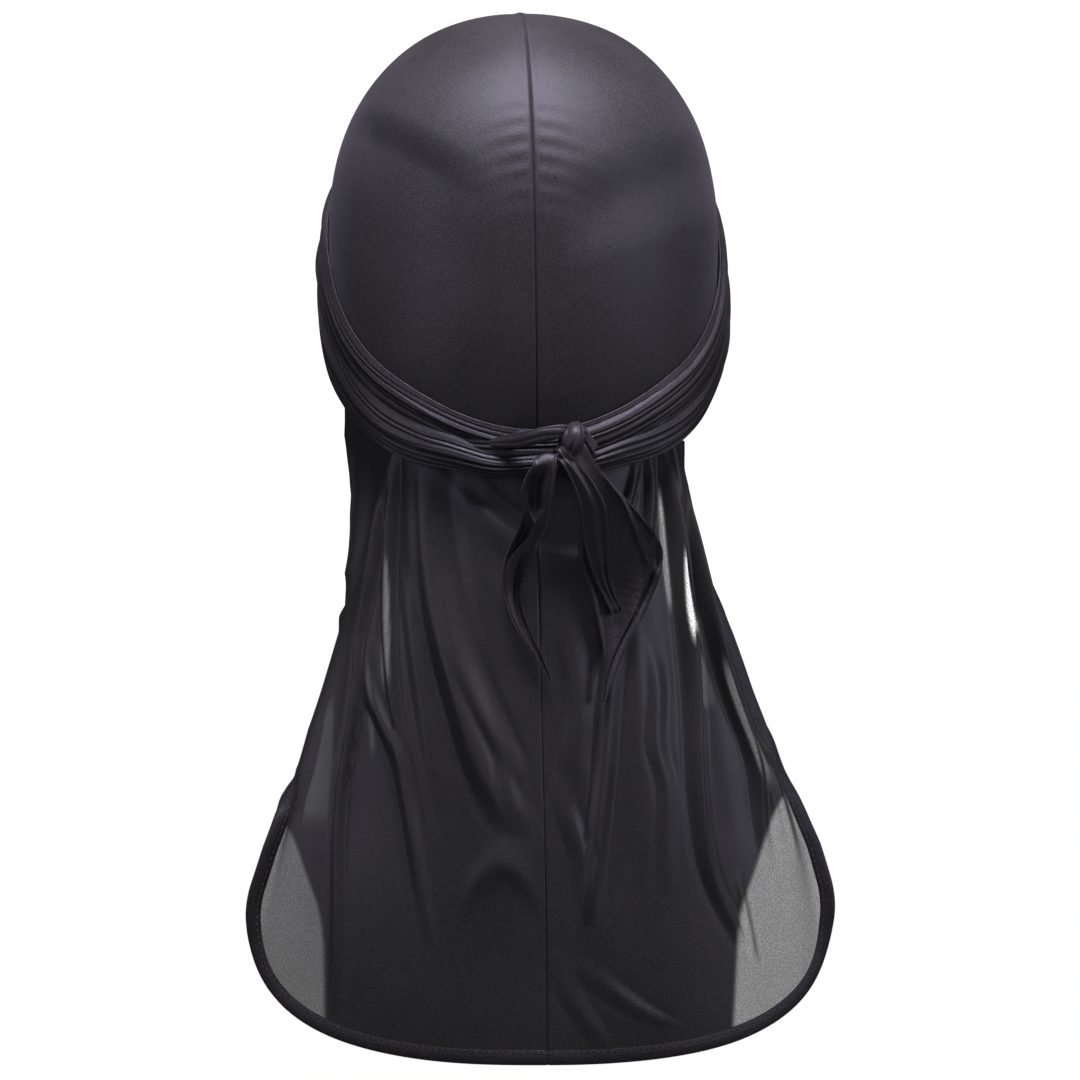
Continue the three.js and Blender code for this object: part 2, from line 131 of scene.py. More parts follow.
def leaned(places):
    turn = math.radians(-WORN_LEAN)
    x, y, z = places[..., 0], places[..., 1], places[..., 2]
    return np.stack([x * math.cos(turn) + z * math.sin(turn), y, z * math.cos(turn) - x * math.sin(turn)], -1)


def cloth_wall(name, outer, inner, material, flat=None, **marks):
    """A closed wall between two grids of points in millimetres. flat is a grid of places on the uncut cloth,
    and marks are grids of numbers that the material reads."""
    rows, columns = outer.shape[:2]
    count = rows * columns
    points = np.concatenate([outer.reshape(-1, 3), inner.reshape(-1, 3)]) * MM
    at = np.arange(count).reshape(rows, columns)
    skin = np.stack([at[:-1, :-1], at[1:, :-1], at[1:, 1:], at[:-1, 1:]], -1).reshape(-1, 4)
    border = np.concatenate([at[0, :-1], at[:-1, -1], at[-1, :0:-1], at[:0:-1, 0]])
    onward = np.roll(border, -1)
    rim = np.stack([border, onward, onward + count, border + count], -1)
    faces = np.concatenate([skin, skin[:, ::-1] + count, rim])
    corners = points[faces]
    volume = np.einsum("ij,ij->", corners[:, 0], np.cross(corners[:, 1], corners[:, 2]))
    volume += np.einsum("ij,ij->", corners[:, 0], np.cross(corners[:, 2], corners[:, 3]))
    faces = faces[:, ::-1] if volume < 0 else faces
    mesh = bpy.data.meshes.new(name)
    mesh.from_pydata(points.tolist(), [], faces.tolist())
    if flat is not None:
        places = np.concatenate([flat.reshape(-1, 2)] * 2)[faces.reshape(-1)] * MM
        mesh.uv_layers.new(name="cloth").data.foreach_set("uv", places.reshape(-1).astype(np.float32))
    for mark, values in marks.items():
        both = np.concatenate([values.reshape(-1)] * 2).astype(np.float32)
        mesh.attributes.new(mark, "FLOAT", "POINT").data.foreach_set("value", both)
    work = bmesh.new()
    work.from_mesh(mesh)
    bmesh.ops.remove_doubles(work, verts=work.verts, dist=1e-7)
    work.to_mesh(mesh)
    work.free()
    mesh.polygons.foreach_set("use_smooth", np.ones(len(mesh.polygons), bool))
    mesh.set_sharp_from_angle(angle=math.radians(70))
    mesh.materials.append(material)
    return add_object(name, mesh)


def linear(hex_colour):
    """An sRGB hex colour as Blender's linear one."""
    parts = [int(hex_colour[k:k + 2], 16) / 255 for k in (1, 3, 5)]
    return [p / 12.92 if p <= 0.04045 else ((p + 0.055) / 1.055) ** 2.4 for p in parts] + [1]


def add_node(tree, kind, settings=None, values=None, links=None):
    """Adds a node, sets its options and its sockets' values, and links (node, output) pairs to its inputs."""
    made = tree.nodes.new(kind)
    for name, value in (settings or {}).items():
        setattr(made, name, value)
    for name, value in (values or {}).items():
        made.inputs[name].default_value = value
    for name, (source, output) in (links or {}).items():
        tree.links.new(source.outputs[output], made.inputs[name])
    return made


def new_material(name):
    material = bpy.data.materials.new(name)
    material.use_nodes = True
    material.node_tree.nodes.clear()
    return material


def satin(name, dark, light, roughness, sheen, weave_mm, weave_depth, opacity=None):
    """Polyester satin: long floats of bright thread give a soft, wide gloss with a violet cast, and a fine
    grain across the cloth. weave_mm is the drawn size of a float, coarser than the real 0.3 mm so that it
    shows."""
    material = new_material(name)
    tree = material.node_tree
    place = add_node(tree, "ShaderNodeTexCoord")
    along, across, down = weave_mm
    threads = add_node(tree, "ShaderNodeMapping",
                       values={"Scale": [1 / (s * MM) for s in (along, across, down)]},
                       links={"Vector": (place, "Object")})
    grain = add_node(tree, "ShaderNodeTexNoise", values={"Scale": 1, "Detail": 3, "Roughness": 0.65},
                     links={"Vector": (threads, "Vector")})
    cloud = add_node(tree, "ShaderNodeTexNoise", values={"Scale": 1 / (34 * MM), "Detail": 3},
                     links={"Vector": (place, "Object")})
    both = add_node(tree, "ShaderNodeMath", {"operation": "MULTIPLY_ADD"}, {1: 0.25},
                    {0: (cloud, "Fac"), 2: (grain, "Fac")})
    tone = add_node(tree, "ShaderNodeMapRange", values={"From Min": 0.42, "From Max": 0.83},
                    links={"Value": (both, "Value")})
    colour = add_node(tree, "ShaderNodeMix", {"data_type": "RGBA"}, {6: linear(dark), 7: linear(light)},
                      {0: (tone, "Result")})
    gloss = add_node(tree, "ShaderNodeMapRange",
                     values={"From Min": 0.3, "From Max": 0.7,
                             "To Min": roughness - 0.05, "To Max": roughness + 0.07},
                     links={"Value": (grain, "Fac")})
    relief = add_node(tree, "ShaderNodeBump", values={"Strength": weave_depth, "Distance": 0.3 * MM},
                      links={"Height": (grain, "Fac")})
    shader = add_node(tree, "ShaderNodeBsdfPrincipled",
                      values={"IOR": 1.34, "Sheen Weight": sheen, "Sheen Roughness": 0.35,
                              "Sheen Tint": linear("#B9B2D2"), "Anisotropic": 0.35,
                              "Specular Tint": linear("#E0D9FF")},
                      links={"Base Color": (colour, 2), "Roughness": (gloss, "Result"),
                             "Normal": (relief, "Normal")})
    if opacity:
        dense = add_node(tree, "ShaderNodeAttribute", {"attribute_name": opacity})
        open_share = add_node(tree, "ShaderNodeMath", {"operation": "SUBTRACT"}, {0: 1.0},
                              {1: (dense, "Fac")})
        holes = add_node(tree, "ShaderNodeMapRange",
                         values={"From Min": 0.25, "From Max": 0.75, "To Min": -0.5, "To Max": 0.5},
                         links={"Value": (grain, "Fac")})
        cover = add_node(tree, "ShaderNodeMath", {"operation": "MULTIPLY_ADD", "use_clamp": True},
                         links={0: (holes, "Result"), 1: (open_share, "Value"), 2: (dense, "Fac")})
        tree.links.new(cover.outputs["Value"], shader.inputs["Alpha"])
    add_node(tree, "ShaderNodeOutputMaterial", links={"Surface": (shader, "BSDF")})
    return material


def crown_rise(bearing):
    share = ease(np.abs(bearing), CROWN["side_from"], CROWN["side_to"])
    return mix(CROWN["back_rise"], CROWN["front_rise"], share)


def crown_relief(at):
    """How far the stretched cloth stands out from the smooth dome, for points on it."""
    x, y, z = at[..., 0], at[..., 1], at[..., 2]
    off = np.abs(x)
    turn = np.degrees(np.arctan2(-y, z))
    behind = ease(turn, 3, 12)
    groove = -SEAM_GROOVE["depth"] * bump(off, SEAM_GROOVE["width"])
    lip = SEAM_GROOVE["lip"] * bump(off - SEAM_GROOVE["lip_at"], SEAM_GROOVE["lip_width"])
    peak = SEAM_GROOVE["peak"] * bump(off, 1.5)
    seam = mix(peak, groove + lip, behind)
    under = ease(turn, 72, 84) * (x > 0) * (1 - ease(x, ALLOWANCE["width"] - 0.5, ALLOWANCE["width"] + 0.5))
    puckers = 0
    for k, (pucker_turn, height, reach) in enumerate(PUCKERS):
        middle = pucker_turn + np.where(x > 0, 0.9, 0) + 0.05 * off + 0.004 * off ** 2
        wide = 1.25 + 0.03 * off
        reach = reach * np.where(x > 0, 1.1, 0.9 + 0.1 * (k % 2))
        puckers = puckers + height * bump(turn - middle, wide) * bump(off, reach) * ease(off, 0.6, 4)
    soft = 0.22 * np.sin(x / 19 + z / 27 + 0.6) * np.sin(z / 22 - y / 31 + 1.9)
    soft = soft + 0.12 * np.sin(x / 9.5 - z / 15 + 2.1) * np.sin(z / 12 + x / 21)
    for dip in DIPS:
        place = z + dip["slope"] * x - dip["at"]
        fall = dip["fall"] / 2
        wave = -dip["depth"] * (1 - ease(place, -fall, fall)) * (1 - ease(-place, fall, fall + dip["back"]))
        wave = wave * ease(dip["side"] * x, dip["from"], dip["full"])
        soft = soft + wave * ease(-y, 5, 40) * (1 - 0.7 * ease(off, 60, 74))
    return seam + ALLOWANCE["step"] * under + puckers + soft * ease(off, 3, 16)


def crown_panel(name, side, material):
    place = np.linspace(0, 1, CROWN["columns"])
    turn = mix(180 * place, 90 * (1 - np.cos(np.pi * place)), 0.85)
    bearing = turn if side > 0 else turn - 180
    share = np.linspace(0, 1, CROWN["rows"])[:, None]
    at = head_point(bearing, share * down_to(bearing, crown_rise(bearing)), CLOTH)
    reach = np.linalg.norm(at, axis=-1, keepdims=True)
    outer = at * (1 + crown_relief(at)[..., None] / reach)
    inner = outer * (1 - SATIN_WALL / reach)
    return cloth_wall(name, leaned(outer), leaned(inner), material)


def stands_for(piece, node_name):
    """Hangs a piece from the root and hides the solid that it is seen in place of."""
    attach(piece, "root")
    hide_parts(node_name)


crown_satin = satin("polyester_satin_crown", "#151415", "#343236", 0.5, 0.1, (0.6, 0.6, 0.5), 0.55)
crown = {}
for name, side in (("crown_left", -1), ("crown_right", 1)):
    crown[name] = crown_panel(name + "_cloth", side, crown_satin)
    stands_for(crown[name], name)


# Crown seam
# The two panels' edges are sewn together and pressed to the right inside the crown. The thread
# shows as a row of small stitches at the bottom of the groove.
SEAM = {"dent": 1, "width": 4.6, "thick": 0.8, "stations": 90, "gap": 0.3}
STITCH = {"pitch": 2.6, "length": 1.7, "radius": 0.22}


def stitch_tree():
    """Stitches along a curve: one small rounded thread for each pitch, laid along it."""
    tree = bpy.data.node_groups.new("stitch_row", "GeometryNodeTree")
    tree.interface.new_socket("Geometry", in_out="INPUT", socket_type="NodeSocketGeometry")
    for size in ("Pitch", "Length", "Radius"):
        tree.interface.new_socket(size, in_out="INPUT", socket_type="NodeSocketFloat")
    tree.interface.new_socket("Thread", in_out="INPUT", socket_type="NodeSocketMaterial")
    tree.interface.new_socket("Geometry", in_out="OUTPUT", socket_type="NodeSocketGeometry")
    given = add_node(tree, "NodeGroupInput")
    spots = add_node(tree, "GeometryNodeCurveToPoints", {"mode": "LENGTH"},
                     links={"Curve": (given, "Geometry"), "Length": (given, "Pitch")})
    turn = add_node(tree, "FunctionNodeAlignRotationToVector", {"axis": "X"},
                    links={"Vector": (spots, "Tangent")})
    thread = add_node(tree, "GeometryNodeMeshUVSphere", values={"Segments": 6, "Rings": 4, "Radius": 1})
    half = add_node(tree, "ShaderNodeMath", {"operation": "MULTIPLY"}, {1: 0.5}, {0: (given, "Length")})
    size = add_node(tree, "ShaderNodeCombineXYZ",
                    links={"X": (half, "Value"), "Y": (given, "Radius"), "Z": (given, "Radius")})
    row = add_node(tree, "GeometryNodeInstanceOnPoints",
                   links={"Points": (spots, "Points"), "Instance": (thread, "Mesh"),
                          "Rotation": (turn, "Rotation"), "Scale": (size, "Vector")})
    real = add_node(tree, "GeometryNodeRealizeInstances", links={"Geometry": (row, "Instances")})
    painted = add_node(tree, "GeometryNodeSetMaterial",
                       links={"Geometry": (real, "Geometry"), "Material": (given, "Thread")})
    add_node(tree, "NodeGroupOutput", links={"Geometry": (painted, "Geometry")})
    return tree


def stitch_row(name, lines, sizes, thread):
    """A plain mesh of stitches along the lines, which are rows of points in millimetres."""
    path = bpy.data.curves.new(name + "_line", "CURVE")
    path.dimensions = "3D"
    for line in lines:
        spline = path.splines.new("POLY")
        spline.points.add(len(line) - 1)
        spline.points.foreach_set("co", np.c_[np.asarray(line) * MM, np.ones(len(line))].reshape(-1))
    guide = add_object(name + "_line", path)
    modifier = guide.modifiers.new("stitches", "NODES")
    modifier.node_group = STITCHES
    inputs = {i.name: i.identifier for i in STITCHES.interface.items_tree if i.in_out == "INPUT"}
    for size in ("pitch", "length", "radius"):
        modifier[inputs[size.capitalize()]] = sizes[size] * MM
    modifier[inputs["Thread"]] = thread
    seen = guide.evaluated_get(bpy.context.evaluated_depsgraph_get())
    mesh = bpy.data.meshes.new_from_object(seen)
    mesh.name = name
    mesh.polygons.foreach_set("use_smooth", np.ones(len(mesh.polygons), bool))
    bpy.data.objects.remove(guide)
    return add_object(name, mesh)


def sewing_thread():
    """Spun polyester thread: matt, with fine turns of yarn that break up the light."""
    material = new_material("polyester_thread")
    tree = material.node_tree
    place = add_node(tree, "ShaderNodeTexCoord")
    yarn = add_node(tree, "ShaderNodeTexNoise", values={"Scale": 1 / (0.5 * MM), "Detail": 1},
                    links={"Vector": (place, "Object")})
    colour = add_node(tree, "ShaderNodeMix", {"data_type": "RGBA"},
                      {6: linear("#060607"), 7: linear("#0E0D10")}, {0: (yarn, "Fac")})
    relief = add_node(tree, "ShaderNodeBump", values={"Strength": 0.4, "Distance": 0.1 * MM},
                      links={"Height": (yarn, "Fac")})
    shader = add_node(tree, "ShaderNodeBsdfPrincipled",
                      values={"Roughness": 0.75, "IOR": 1.5, "Sheen Weight": 0.1},
                      links={"Base Color": (colour, 2), "Normal": (relief, "Normal")})
    add_node(tree, "ShaderNodeOutputMaterial", links={"Surface": (shader, "BSDF")})
    return material


STITCHES = stitch_tree()
thread = sewing_thread()
seam_back, seam_front = (float(down_to(b, crown_rise(np.float64(b)))) - 1 for b in (0, 180))
seam_down = np.linspace(seam_back, -seam_front, SEAM["stations"])
seam_way = np.where(seam_down > 0, 0, 180)


def seam_face(offset):
    across = np.linspace(-1, SEAM["width"] - 1, 4)[:, None]
    at = np.repeat(head_point(seam_way, np.abs(seam_down), offset - SEAM["dent"])[None], 4, 0)
    at[..., 0] = across
    return leaned(at)


crown_seam = cloth_wall("crown_seam_allowance", seam_face(-2 * SEAM["gap"]),
                        seam_face(-2 * SEAM["gap"] - SEAM["thick"]), crown_satin)
seam_line = head_point(seam_way, np.abs(seam_down), CLOTH)
seam_stand = (crown_relief(seam_line) - 0.1) / np.linalg.norm(seam_line, axis=-1)
crown_stitches = stitch_row("crown_seam_stitches", [leaned(seam_line * (1 + seam_stand[:, None]))],
                            STITCH, thread)
for piece in (crown_seam, crown_stitches):
    stands_for(piece, "crown_seam")


# Front hem
# The crown's edge across the forehead, from temple to temple. The satin is turned in twice there and sewn
# down with one row of stitches, so it is thicker and a little darker than the panels.
FRONT_HEM = {"from": 98, "gap": 0.6, "width": 5.5, "thick": 1.6, "sewn_at": 0.2,
             "stations": 170, "columns": 9}
hem_satin = satin("polyester_satin_hem", "#0E0D0E", "#222023", 0.5, 0.08, (0.9, 0.9, 0.7), 0.6)


def front_hem_face(sign):
    across = np.linspace(0, 1, FRONT_HEM["columns"])[:, None]
    bearing = np.linspace(FRONT_HEM["from"], 360 - FRONT_HEM["from"], FRONT_HEM["stations"])
    rim = crown_rise(np.where(bearing > 180, bearing - 360, bearing))
    rise = rim - FRONT_HEM["gap"] - across * FRONT_HEM["width"]
    round_edge = np.sqrt(1 - np.abs(2 * across - 1) ** 4)
    pressed = 1 - 0.45 * bump(across - FRONT_HEM["sewn_at"], 0.07)
    swell = 1 + 0.12 * np.sin(bearing / 2.1) * np.sin(bearing / 5.3 + 1)
    thick = sign * FRONT_HEM["thick"] / 2 * round_edge * pressed * swell
    return leaned(wrap_point(bearing, rise, CLOTH / 2 + thick))


front_hem = cloth_wall("front_hem_cloth", front_hem_face(1), front_hem_face(-1), hem_satin)
hem_bearing = np.linspace(FRONT_HEM["from"] + 1, 359 - FRONT_HEM["from"], 200)
hem_rim = crown_rise(np.where(hem_bearing > 180, hem_bearing - 360, hem_bearing))
hem_rim = hem_rim - FRONT_HEM["gap"] - FRONT_HEM["sewn_at"] * FRONT_HEM["width"]
front_line = leaned(wrap_point(hem_bearing, hem_rim, CLOTH / 2 + 0.42))
front_stitches = stitch_row("front_hem_stitches", [front_line], STITCH, thread)
for piece in (front_hem, front_stitches):
    stands_for(piece, "front_hem")


# Straps
# Two long tapered strips of the same satin, pulled into narrow pleats by hand. Each leaves its temple,
# crosses the nape, goes round the forehead and comes back to the nape, where the two are tied.
STRAP = {"clear": 0.7, "pitch": 2.6, "spread": 4.5, "tuck": 0.8, "columns": 96, "step": 1.3}
STRAP_END = {-1: -365, 1: -352}
STRAP_RISEN = {"by": 5.5, "at": (75, -285), "reach": 32}  # the right strap's foot is higher at the right
PLEAT_GAIN = 1.9
FINE_PLEATS = {"count": 13, "height": 0.25}
STRAP_ROUTE = np.array([  # bearing, rise, width, layer of the left strap, layer of the right strap
    (126, -12, 20, 0, 0), (90, -11, 25, 0, 0), (62, -10, 22, 0, 0), (40, -7, 17, 1, 0),
    (0, 0.5, 14, 1, 0), (-40, 7.5, 16, 1, 0), (-90, 11.5, 20, 0, 0), (-145, 11, 17, 0.4, 0),
    (-158, 7, 16, 1, 0), (-202, -7, 16, 1, 0), (-215, -11, 18, 1, 0.4), (-228, -11.5, 21, 1, 1),
    (-270, -11, 25, 1, 1), (-298, -9.5, 21, 1, 1), (-318, -7, 15, 2, 2), (-345, -4, 10, 2, 2),
    (-366, -1.5, 8, 2, 2),
], float)
# Share of the width, bearing at which the pleat opens, how far, over how many degrees, and height in mm.
PLEATS = {
    -1: [(0.10, -60, 0.5, 50, 1.0), (0.13, -310, 0.8, 30, 1.3), (0.09, 40, 0.6, 60, 0.9),
         (0.24, -272, 2.2, 30, 1.0), (0.10, -330, 0.5, 25, 1.2), (0.16, -180, 0.9, 60, 1.2),
         (0.14, -290, 0.5, 30, 1.5)],
    1: [(0.14, -300, 0.9, 30, 1.4), (0.09, -90, 0.6, 50, 0.9), (0.17, -250, 0.8, 40, 1.2),
        (0.10, -325, 0.7, 25, 1.1), (0.18, -285, 0.9, 25, 1.3), (0.10, 60, 0.6, 60, 1.0),
        (0.15, -200, 0.8, 50, 1.5)],
}


def strap_row(bearing):
    """Rise, width and the two layers of the straps at a bearing."""
    turn = np.clip(bearing, STRAP_ROUTE[-1, 0], STRAP_ROUTE[0, 0])
    after = np.clip(np.searchsorted(-STRAP_ROUTE[:, 0], -turn), 1, len(STRAP_ROUTE) - 1)
    start, end = STRAP_ROUTE[after - 1], STRAP_ROUTE[after]
    share = ease((start[..., 0] - turn) / (start[..., 0] - end[..., 0]), 0, 1)
    return np.moveaxis(mix(start, end, share[..., None]), -1, 0)[1:]


def pleat_height(across, bearing, pleats):
    """Rounded pleats side by side across the strap, which open and close along it."""
    share, opens, swell, reach, height = np.array(pleats).T[:, :, None]
    wave = 0.22 * np.sin(bearing / 13 + 2.4 * np.arange(len(pleats))[:, None])
    width = share * (1 + swell * bump(bearing - opens, reach) + wave)
    edges = np.concatenate([np.zeros((1, len(bearing))), np.cumsum(width, 0)]) / width.sum(0)
    which = np.clip((across[:, None, None] >= edges[None]).sum(1) - 1, 0, len(pleats) - 1)
    low = np.take_along_axis(edges, which, 0)
    high = np.take_along_axis(edges, which + 1, 0)
    inside = 2 * (across[:, None] - low) / (high - low) - 1
    return height[which, 0] * np.sqrt(np.clip(1 - inside ** 2, 0, 1))


def strap(name, side, material):
    count = int((STRAP_ROUTE[0, 0] - STRAP_END[side]) / STRAP["step"])
    bearing = np.linspace(STRAP_ROUTE[0, 0], STRAP_END[side], count)
    across = np.linspace(0, 1, STRAP["columns"])
    rise, width, left, right = strap_row(bearing)
    if side > 0:
        risen = sum(STRAP_RISEN["by"] * bump(bearing - at, STRAP_RISEN["reach"]) for at in STRAP_RISEN["at"])
        rise, width = rise + risen / 2, width - risen
    behind = ease(np.cos(np.radians(bearing)), -0.2, 0.3)
    tuck = 1 - STRAP["tuck"] * behind * (1 - ease(across, 0, 0.5))[:, None]
    floor = CLOTH + STRAP["clear"] + STRAP["pitch"] * (left if side < 0 else right) * tuck
    rounded = np.sqrt(1 - np.abs(2 * across - 1) ** 6)[:, None]
    rounded = rounded * mix(1, ease(across, -0.05, 0.3)[:, None], behind)
    slack = 0.25 * np.sin(bearing / 7 + 5 * across[:, None]) * np.sin(bearing / 17)
    drift = 1.6 * np.sin(bearing / 21) + 0.9 * np.sin(bearing / 8)
    fine = FINE_PLEATS["height"] * np.abs(np.sin(FINE_PLEATS["count"] * np.pi * across[:, None] + drift))
    pleats = PLEAT_GAIN * pleat_height(across, bearing, PLEATS[side])
    cover = 0.3 + rounded * (0.35 + slack * 0.4 + fine + pleats)
    spread = STRAP["spread"] * (1 - ease(bearing, -228, -205)) * ease(bearing, -352, -335)
    rise = rise + width / 2 + spread - (width + spread) * across[:, None]
    outer = leaned(wrap_point(side * bearing, rise, floor + cover))
    inner = leaned(wrap_point(side * bearing, rise, floor - 0.1))
    flat = np.stack(np.broadcast_arrays(1.3 * bearing, 40 * across[:, None]), -1)
    return cloth_wall(name, outer, inner, material, flat)


strap_satin = satin("polyester_satin_gathered", "#131214", "#2B292C", 0.42, 0.1, (0.6, 0.6, 0.5), 0.4)
straps = {}
for name, side in (("strap_left", -1), ("strap_right", 1)):
    straps[name] = strap(name + "_cloth", side, strap_satin)
    stands_for(straps[name], name)


# Flap
# The two panels go on below the wrap as a loose flap, in the shape of a bell. The wrap gathers it into
# narrow folds at both sides, and its middle sags in a shallow bow. The thin cloth is half see-through where
# nothing backs it.
FLAP = {"bearing_left": 76, "bearing_right": 46, "top_gap": 0.6, "tuck_past": 3.5, "tuck_share": 0.1,
        "tuck_rows": 14, "rows": 208, "columns": 164, "width": 110, "length": 260}
FLAP_GROOVE = {"depth": 0.8, "width": 0.4, "columns": [0.0015, 0.004]}
HEM_LINE = {"centre_x": 4.5, "half_width": 108.5, "widest_z": -258, "depth": 51, "fullness": 3.25}
HEM_DEPTH = {"centre_y": -97, "edge_y": -52}
# Leave x, leave drop, arrive x and arrive rise, for the left and the right edge.
FLAP_EDGES = np.array([(11, 84, 17, 47), (5, 55, -9, 28)], float)
FLAP_MIDDLE = {"leave_y": -7, "leave_drop": 60, "arrive_rise": 80}
# Place at the top and at the hem, width at both, height in mm, and where down it starts, peaks and ends.
GATHERS = [
    (-0.9, -0.86, 0.07, 0.09, 2.5, 0.1, 0.45, 1.3), (-0.68, -0.66, 0.09, 0.09, 3, 0.1, 0.4, 1.15),
    (-0.58, -0.44, 0.08, 0.12, 2, 0.12, 0.45, 0.95), (-0.4, -0.16, 0.1, 0.16, 1.6, 0.14, 0.5, 0.95),
    (0.1, 0.2, 0.16, 0.16, 1.5, 0.4, 0.75, 1.2), (0.56, 0.46, 0.07, 0.12, 2, 0.12, 0.45, 1),
    (0.95, 0.46, 0.08, 0.09, 3, 0.1, 0.4, 1.1), (0.96, 0.82, 0.07, 0.08, 4, 0.1, 0.42, 1.2),
]
FOLDS = [  # softness in mm to the left and to the right, then rows of z, x and height
    (1.7, 1.3, [(-80.3, -53.3, 0), (-98, -55.3, 1.6), (-111.7, -57.1, 2.2), (-136.3, -59.7, 2.4),
        (-154.1, -63.7, 2.4), (-173.2, -64.6, 2.4), (-190.9, -67, 2.2), (-207.2, -71.5, 2.2),
        (-227.8, -73.5, 1.8), (-258.3, -73.9, 1.4), (-282, -75.2, 1), (-299, -75.9, 0)]),
    (2.6, 1.9, [(-140.4, -58.5, 0), (-154.1, -60.7, 0.9), (-165, -61.2, 1.3), (-178, -59.3, 1.5),
        (-187.5, -54.7, 1.5), (-199.1, -49.5, 1.6), (-221, -46, 2.2), (-236.3, -44, 1.6),
        (-256.6, -41.3, 0.6), (-271.9, -38.8, 0)]),
    (1.5, 1.5, [(-79.6, -51.6, 0), (-91.2, -52.5, 1.6), (-118.5, -53.3, 2), (-145.9, -53.6, 2),
        (-165, -53, 2), (-181.4, -51.5, 1.6), (-199.1, -48.9, 0.8), (-208.7, -47.1, 0)]),
    (4.5, 6, [(-80.3, -43.4, 0), (-91.2, -41.5, 1.8), (-118.5, -40.3, 2.4), (-143.1, -36.2, 2.8),
        (-165, -30.7, 3), (-186.8, -24.6, 3), (-206, -19.1, 2.6), (-216, -13.3, 1.4), (-227.8, -7.4, 0)]),
    (2.6, 4, [(-126.7, -34.1, 0), (-159.5, -27.3, 1.2), (-181.4, -18.4, 1.8), (-200.5, -9.5, 1.6),
        (-209.2, -9.9, 1), (-224.4, -4, 0)]),
    (2.4, 2.4, [(-83, -47.8, 0), (-104.9, -47.1, 0.9), (-134.9, -45.8, 1.1), (-165, -43, 1),
        (-195, -38.9, 0.7), (-221, -34.5, 0)]),
    (1.5, 1.8, [(-81.6, 45.5, 0), (-93.9, 45.6, 1.8), (-104.9, 45.2, 1.8), (-118.5, 43.8, 1),
        (-132.2, 42.5, 0)]),
    (1.4, 1.6, [(-84.4, 40.8, 0), (-96.7, 37.8, 1.4), (-110.3, 33.7, 1), (-121.3, 30.8, 0)]),
    (2.6, 2, [(-78.9, 53.1, 1), (-91.2, 53.7, 3), (-111.7, 55.5, 3.4), (-132.2, 57.1, 3.4),
        (-154.1, 59.6, 3.4), (-173.2, 61.1, 3.2), (-193.7, 61.6, 3), (-207.3, 61.8, 2.8), (-221, 63, 2.5),
        (-244.8, 66.4, 2), (-256.6, 72.7, 1.4), (-270.2, 81.2, 0.7), (-278.6, 85.6, 0)]),
    (2, 1.9, [(-78.9, 55.3, 1), (-98, 57.8, 2.6), (-122.6, 62.4, 3), (-143.1, 66.5, 3), (-162.2, 71.5, 3),
        (-178.6, 76.4, 2.8), (-196.4, 83.5, 2.2), (-207.3, 87.6, 1.8), (-222.7, 87.6, 1.2), (-234.6, 90, 0.6),
        (-244.8, 91.9, 0)]),
    (1.6, 1.6, [(-89.8, 58.6, 0), (-111.7, 64.4, 1.1), (-129.5, 69.8, 1.2), (-151.3, 76.7, 1.2),
        (-173.2, 83.5, 1), (-195, 91.7, 0.7), (-213.4, 96.1, 0.6), (-227.8, 100.3, 0.6), (-244.8, 103.6, 0)]),
    (1.9, 3.6, [(-145.9, 30.8, 0), (-166.3, 28.8, 1.4), (-178.6, 27.4, 1.8), (-197.3, 26.2, 2),
        (-221, 23.5, 2), (-244.8, 20.8, 1.4), (-261.7, 18.9, 0)]),
    (3.4, 2.6, [(-204, 9, 0), (-222.7, 13.8, 0.9), (-234.6, 18.1, 1), (-248.1, 19.1, 0.8),
        (-261.7, 19.4, 0)]),
    (5, 4, [(-274, 16, 0), (-287.1, 29.9, 0.5), (-295.6, 41.8, 0.5), (-302.4, 52.8, 0)]),
    (3.6, 3.2, [(-270, 7, 0), (-288.8, 14.3, 0.5), (-300.7, 21.5, 0.5), (-310.8, 27.9, 0)]),
    (1.3, 1.3, [(-243.1, 78.8, 0), (-258.3, 81.7, 1), (-271.9, 84.6, 1), (-282, 86.9, 0)]),
    (3.6, 5, [(-141.8, 11, 0), (-162.2, 15.1, 1.2), (-181.4, 16.5, 1.6), (-200.5, 13.7, 1.2),
        (-204.1, 14.7, 0.6), (-216, 13.8, 0)]),
    (2.2, 3, [(-154.1, 45.2, 0), (-173.2, 46.6, 1), (-195, 45.2, 1), (-210.9, 50.3, 0.8), (-234.6, 49.4, 0.4),
        (-251.5, 50.3, 0)]),
]
FOLD_GAIN = 1.35
CREASE = {"share": 0.28, "at": 1.75, "width": 0.55}
SWAGS = [  # softness in mm above and below, then rows of x, z and height
    (4.4, 9, [(-40.3, -85.7, 0), (-30.7, -96.7, 0.9), (-16.3, -109.2, 1.8), (-5.4, -118, 1.8),
        (6.9, -122.9, 1.7), (19.2, -123.5, 1.5), (27.4, -118, 1), (35.6, -104.9, 0.4), (40.4, -92.6, 0)]),
    (2.6, 4, [(-24, -88.5, 0), (-13.6, -99.1, 0.7), (-4, -106.8, 0.7), (8.3, -111.7, 0.5),
        (19.2, -110.9, 0.4), (28.1, -102.1, 0)]),
    (2, 3, [(-14, -86.5, 0), (-2.7, -96.4, 0.5), (8.3, -100.5, 0.4), (19.2, -99.1, 0.3), (26.1, -92.6, 0)]),
    (7, 6, [(-30, -258, 0), (-21, -243, 1), (-12.5, -237, 1.7), (-4, -242, 1.2), (3, -256, 0)]),
]
LEDGE = [  # z, x and depth of the step down to the left of the outermost left fold
    (-80, -53, 0), (-90, -54.5, 3), (-109, -57.4, 3.4), (-131, -65, 3.2), (-150, -72, 2), (-166, -79, 0)]
SHEER = {"left": 0.38, "right": 0.52, "below": -205}
